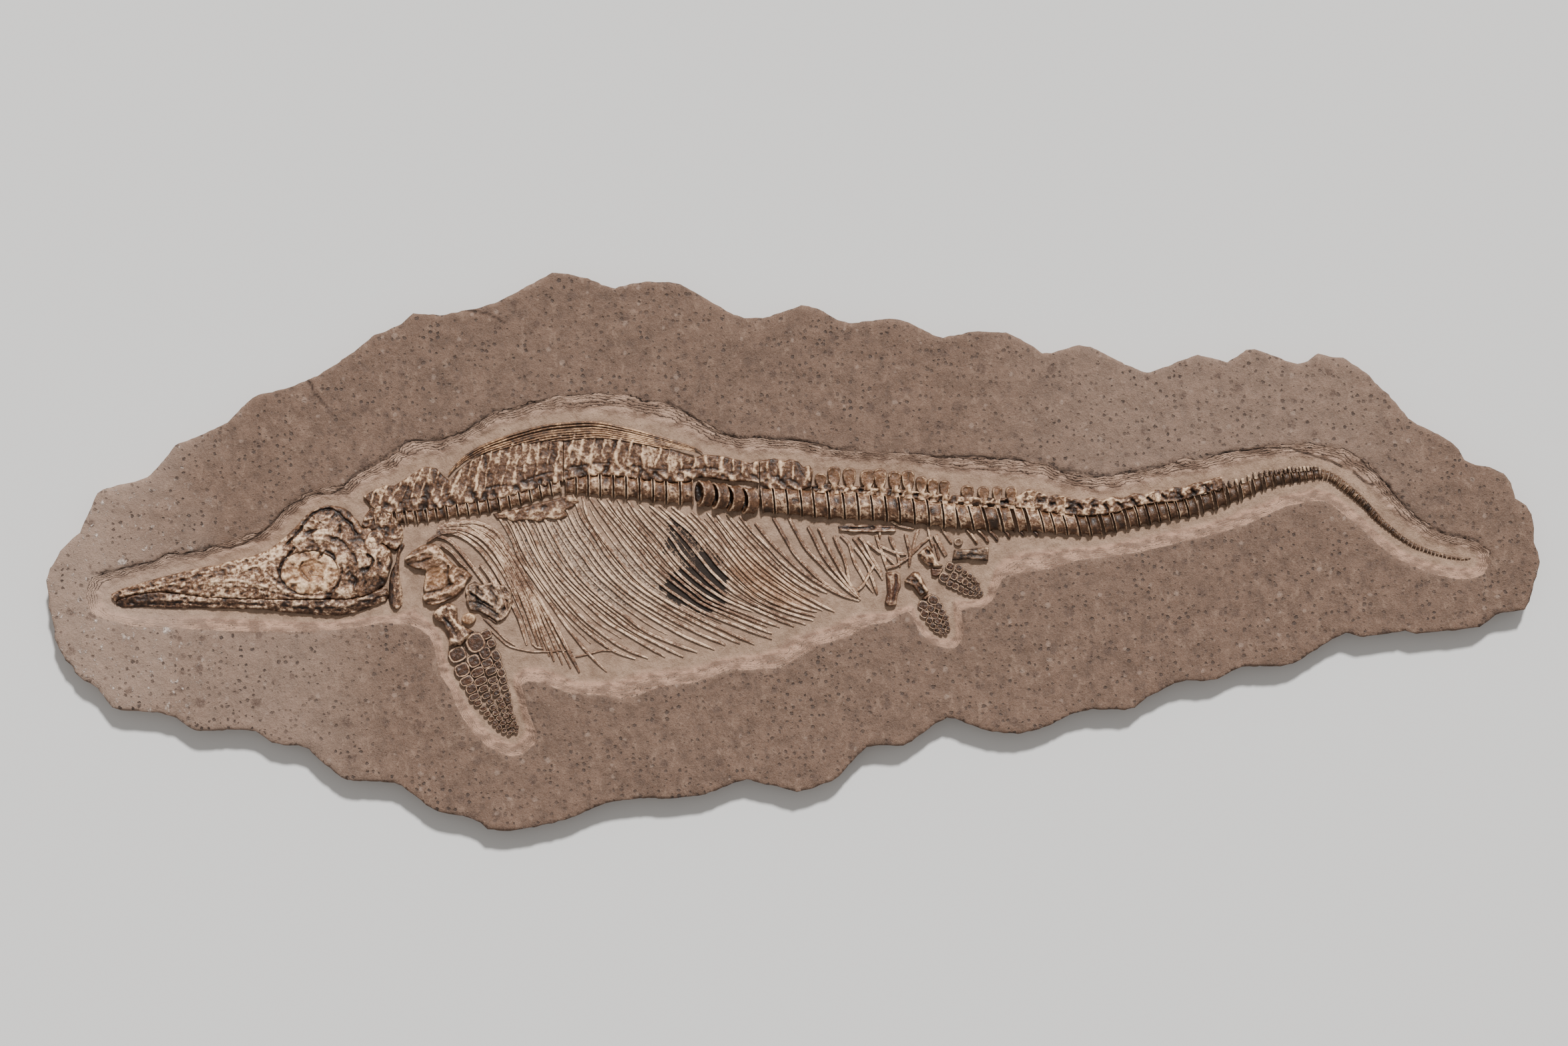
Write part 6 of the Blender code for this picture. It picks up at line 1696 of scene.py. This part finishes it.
SHOULDER_SPLINTS = [
    ([(719, 846), (733, 864), (744, 886), (750, 905)], 1.0, 0.6, 3.0),
    ([(733, 858), (748, 880), (757, 903), (761, 920)], 1.0, 0.6, 3.0),
    ([(727, 852), (740, 874), (752, 897)], 1.0, 0.6, 3.0),
    ([(640, 812), (660, 800), (684, 797)], 1.0, 0.6, 3.0),
    ([(660, 816), (676, 827), (692, 845), (701, 851)], 1.0, 0.5, 4.0),
    ([(676, 784), (706, 790), (730, 812), (752, 846), (771, 886), (783, 918)], 1.2, 0.4, 1.0),
]
sheaf += [tapered(points, 2.2, head, tip, lift) for points, head, tip, lift in SHOULDER_SPLINTS]
finish_piece(rods(sheaf, rib_section, 981, 0.46, 0.42), "front_ribs", rib_bone, ["front_rib_bundle"])

# Tangle at the back of the ribs. Short ribs and splints washed together in front of the hip, lying over each
# other at every angle.
HIND_BUNDLE = [
    [(1132, 784), (1154, 811), (1178, 835), (1205, 859), (1236, 879), (1262, 892), (1288, 901)],
    [(1159, 776), (1169, 793), (1180, 812), (1191, 830), (1212, 853), (1236, 874), (1264, 892)],
    [(1183, 777), (1193, 796), (1209, 823), (1235, 850), (1261, 876), (1288, 898)],
    [(1211, 789), (1219, 804), (1233, 832), (1253, 858), (1273, 881), (1290, 899)],
    [(1227, 791), (1242, 822), (1258, 850), (1275, 877), (1289, 894)],
    [(1250, 803), (1255, 815), (1261, 827), (1268, 845), (1273, 872)],
    [(1260, 803), (1272, 815), (1278, 834), (1283, 847), (1296, 869), (1309, 888)],
    [(1279, 806), (1290, 820), (1300, 835), (1309, 847), (1318, 858), (1323, 869)],
    [(1281, 821), (1293, 836), (1302, 853), (1311, 878), (1315, 891)],
    [(1287, 804), (1296, 814), (1307, 836), (1316, 850), (1322, 860)],
    [(1299, 812), (1309, 820), (1320, 829)], [(1283, 886), (1294, 876), (1304, 857), (1310, 847)],
    [(1313, 802), (1317, 815), (1321, 826), (1325, 838), (1329, 851)],
    [(1334, 805), (1344, 827), (1348, 843), (1349, 850)],
    [(1319, 818), (1331, 824), (1344, 829), (1359, 831)],
    [(1328, 851), (1342, 848), (1352, 842), (1362, 836)],
    [(1357, 800), (1361, 815), (1364, 829), (1363, 849)],
    [(1377, 794), (1372, 805), (1369, 820), (1366, 833)],
    [(1394.5, 804.7), (1390, 808.5), (1381, 816.5), (1364, 833)],
]
SPLINTS = [
    [(1318, 795), (1318.5, 800), (1319, 807)], [(1323.7, 828), (1326.8, 839), (1328, 847), (1330, 855)],
    [(1323.7, 830.5), (1334, 839), (1342.6, 847)], [(1391, 789.5), (1393, 801), (1398, 819)],
    [(1401.6, 814.7), (1404.7, 827), (1408, 839)],
    [(1411, 790.5), (1416, 799), (1422.6, 808.4), (1427, 814.7)], [(1336, 782), (1350, 789), (1370, 793)],
    [(1333, 803), (1336, 812), (1342, 823)],
]
tangle = [tapered(points, 2.5, 0.9, 0.55, 0.3 * (k % 6)) for k, points in enumerate(HIND_BUNDLE)]
tangle += [tapered(points, 2.0, 0.9, 0.6, 0.6 + 0.3 * (k % 4)) for k, points in enumerate(SPLINTS)]
finish_piece(rods(tangle, rib_section, 991, 0.46, 0.42), "rib_tangle", rib_bone, ["hind_rib_bundle"])
THREADS = [
    [(733.7, 944), (746, 955.7), (759, 967), (771.6, 972), (784, 974.6), (796.8, 977), (814.5, 977),
     (827, 977), (841, 975), (858, 977)], [(797, 964.5), (804, 971), (814.5, 972)],
    [(862, 985), (880, 981), (895, 977), (905, 975), (920, 976)], [(720, 917), (732, 926), (744, 935)],
    [(724, 927), (740, 942), (756, 958), (772, 968)],
]
threads = [tapered(points, 1.25, 0.7, 0.6, 0.2) for points in THREADS]
finish_piece(rods(threads, round_section, 1011, 0.26, 0.3, 0.08), "belly_threads", rib_bone,
             ["belly_thread"])
bar = [(1402, 802, 4.0, 0.0), (1407.5, 813, 3.5, 0.0), (1413, 824, 3.2, 0.0), (1418, 832.5, 3.0, 0.0)]
finish_piece(rods([bar], rib_section, 1021, 0.44, 0.4), "hip_splint", rib_bone, ["hip_rod"])
bpy.data.objects.remove(rib_section, do_unlink=True)
bpy.data.objects.remove(round_section, do_unlink=True)

# Hip and hind limbs. A grooved bar and a squared block of the hip, a ring of bone, three thick waisted limb
# bones with bright worn edges, and two small paddles of cobble-like bones.
PELVIC_BAR = [(1256, 788), (1300, 787.5), (1342, 788), (1343, 797), (1310, 799), (1280, 798.5), (1257, 795)]
LOOSE_THIGH = [
    (1327.5, 858.5), (1334, 857), (1343, 857), (1349.5, 860), (1350.5, 880), (1345.5, 892), (1344, 907),
    (1336, 909.5), (1329, 908), (1326, 903), (1329.5, 888), (1328.5, 872),
]
GREY_BLOCK = [(1430, 824), (1452, 823), (1482.5, 820), (1481.5, 841), (1452, 838.5), (1427, 840)]
UPPER_THIGH = [
    (1375, 831), (1384, 822), (1391, 818), (1397.5, 824), (1401, 834), (1405, 843), (1414, 848),
    (1402, 850), (1391, 848.5), (1383, 841),
]
LOWER_THIGH = [
    (1355.5, 871.5), (1360, 865), (1369, 857), (1377, 857.5), (1382.5, 867), (1388, 878), (1392.5, 886),
    (1386, 890.5), (1379.5, 894.5), (1373, 885), (1367, 878), (1358.5, 875),
]
BAR_DRAWN = [
    ([(1256, 791), (1300, 791), (1342, 791)], 1.3, -2.0),
    ([(1258, 794.5), (1300, 796), (1340, 796)], 1.3, 1.4),
]
relief("hip_bar_bone", PELVIC_BAR, worn(PELVIC_BAR, 3.2, 1101, BAR_DRAWN, 0.0, 2.0, 1.6, 0.3, 0.22), 1.2,
       2.0, rib_bone, ["hip_bar"])
THIGH_DRAWN = [
    ([(1334, 866), (1336, 884), (1335, 902)], 1.7, 1.6),
    ([(1343, 862), (1342, 880), (1339, 900)], 1.8, -1.6),
]
relief("loose_thigh", LOOSE_THIGH, worn(LOOSE_THIGH, 5.5, 1107, THIGH_DRAWN, 1.5, 5.0, 0.8, 1.4, 0.34,
       2.8, 8.0), 1.25, 3.0, dark_bone, ["loose_thigh_bone"])
relief("grey_block", GREY_BLOCK, worn(GREY_BLOCK, 6.5, 1113, (), 0.0, 3.0, 1.3, 0.7, 0.22, 1.6, 7.0),
       1.25, 3.0, grey_bone, ["grey_block_bone"])
relief("bone_ring", oval(1436.6, 812.5, 7, 7, 26), knob_height(1436.6, 812.5, 7, 7, 30.0, 2.4, 1117), 1.1,
       1.8, grey_bone, ["ring_bone"])
UPPER_DRAWN = [
    ([(1384, 826), (1392, 836), (1401, 845)], 2.4, 2.6),
    ([(1380, 832), (1388, 842), (1398, 848)], 1.6, -2.2),
    ([(1391, 823), (1398, 832), (1405, 843)], 1.5, 1.8),
]
relief("upper_thigh", UPPER_THIGH, worn(UPPER_THIGH, 5.5, 1121, UPPER_DRAWN, 0.9, 1.6, 2.4, 1.2, 0.40,
       2.4, 8.0), 1.2, 3.0, crest_bone, ["upper_hind_thigh_bone"])
LOWER_DRAWN = [
    ([(1371, 861), (1379, 871), (1389, 886)], 1.8, 2.6),
    ([(1360, 869), (1370, 872), (1380, 886)], 1.8, -1.8),
]
relief("lower_thigh", LOWER_THIGH, worn(LOWER_THIGH, 5.5, 1127, LOWER_DRAWN, 1.0, 2.0, 1.6, 1.0, 0.36,
       2.6, 8.0), 1.2, 3.0, crest_bone, ["lower_hind_thigh_bone"])
UPPER_FINGERS = [
    (1424, 849, 12, 12), (1437.6, 851.4, 10, 10), (1446.6, 857.5, 8, 8), (1454, 863, 8, 8),
    (1460.2, 869, 7, 7), (1465.4, 875.5, 7, 7), (1415.6, 865.5, 15, 14), (1430, 863.2, 11, 12),
    (1439.2, 868, 9, 10), (1446.8, 872.4, 8, 9), (1453.6, 877.2, 8, 8), (1460, 881.6, 7, 7),
    (1466.6, 884, 7, 7), (1471, 889, 6, 6), (1424, 875.2, 10, 10), (1432.4, 878.6, 9, 10),
    (1440.2, 882.8, 9, 10), (1447.8, 887, 9, 9), (1455, 889.4, 8, 8), (1461.8, 890.2, 7, 7),
    (1467.6, 891.6, 6, 5),
]
stub = [(1395, 851), (1404, 852), (1414, 852.5), (1411, 860), (1404, 866), (1396, 863)]
upper_root = relief_form(stub, worn(stub, 4.5, 1131, (), 0.6, 3.0, 0.8, 0.9, 0.3), 1.2, 2.0)
cobbles("upper_paddle_bones", UPPER_FINGERS, 0.45, 4.6, dark_bone, ["upper_hind_paddle"],
        [upper_root])
LOWER_FINGERS = [
    (1384, 907.6, 15, 13), (1399, 899.4, 16, 14), (1395.5, 913, 12, 11), (1407.5, 908.5, 12, 11),
    (1385.6, 920.4, 12, 11), (1400.5, 922.4, 12, 10), (1412, 917.6, 11, 10), (1393.2, 930.2, 10, 10),
    (1406.4, 930.6, 10, 9), (1417, 926.4, 9, 9), (1398.4, 938.2, 10, 8), (1409.4, 938.4, 9, 8),
    (1419.2, 934.8, 9, 8), (1404.4, 945, 9, 7), (1413.6, 945.2, 8, 7), (1421.4, 942, 7, 7),
    (1410.4, 950.2, 6, 4), (1417.6, 949.6, 6, 5),
]
root = [(1381, 899), (1386, 892.5), (1392, 890), (1396, 889), (1396, 893), (1391, 897), (1386, 900)]
lower_root = relief_form(root, worn(root, 3.8, 1137, (), 0.9, 3.0, 0.8, 0.7, 0.4), 1.1, 1.6)
cobbles("lower_paddle_bones", LOWER_FINGERS, 0.5, 4.6, dark_bone, ["lower_hind_paddle"],
        [lower_root])

# Studio. A pale floor under the slab, a raking key light from above the animal's back, a soft fill and a
# camera that looks straight down.
bm = bmesh.new()
bmesh.ops.create_grid(bm, x_segments=1, y_segments=1, size=40.0)
floor_mesh = bpy.data.meshes.new("studio_floor")
bm.to_mesh(floor_mesh)
bm.free()
floor_mat, floor_tree, floor_skin, _ = start_material("studio_floor")
wire(floor_tree, floor_skin, {"Base Color": (0.78, 0.77, 0.75, 1.0), "Roughness": 0.9})
floor_mesh.materials.append(floor_mat)
placed("studio_floor", floor_mesh)

sun = bpy.data.lights.new("key", "SUN")
sun.energy = 4.9
sun.angle = math.radians(6.0)
placed("key", sun).rotation_euler = (math.radians(-46.0), math.radians(12.0), 0.0)

world = bpy.data.worlds.new("studio")
world.use_nodes = True
sky = world.node_tree.nodes["Background"]
wire(world.node_tree, sky, {"Color": (1.0, 0.98, 0.96, 1.0), "Strength": 0.42})
bpy.context.scene.world = world

LENS = 85.0
FILM_WIDTH = 36.0
VIEW_WIDTH = 2.35
camera_data = bpy.data.cameras.new("overhead")
camera_data.lens = LENS
camera_data.sensor_width = FILM_WIDTH
camera_data.clip_end = 50.0
camera = placed("overhead", camera_data)
camera.location = ((1175.0 - PLAN_X0) * MM, (PLAN_Y0 - 784.0) * MM, 0.032 + VIEW_WIDTH * LENS / FILM_WIDTH)
bpy.context.scene.camera = camera
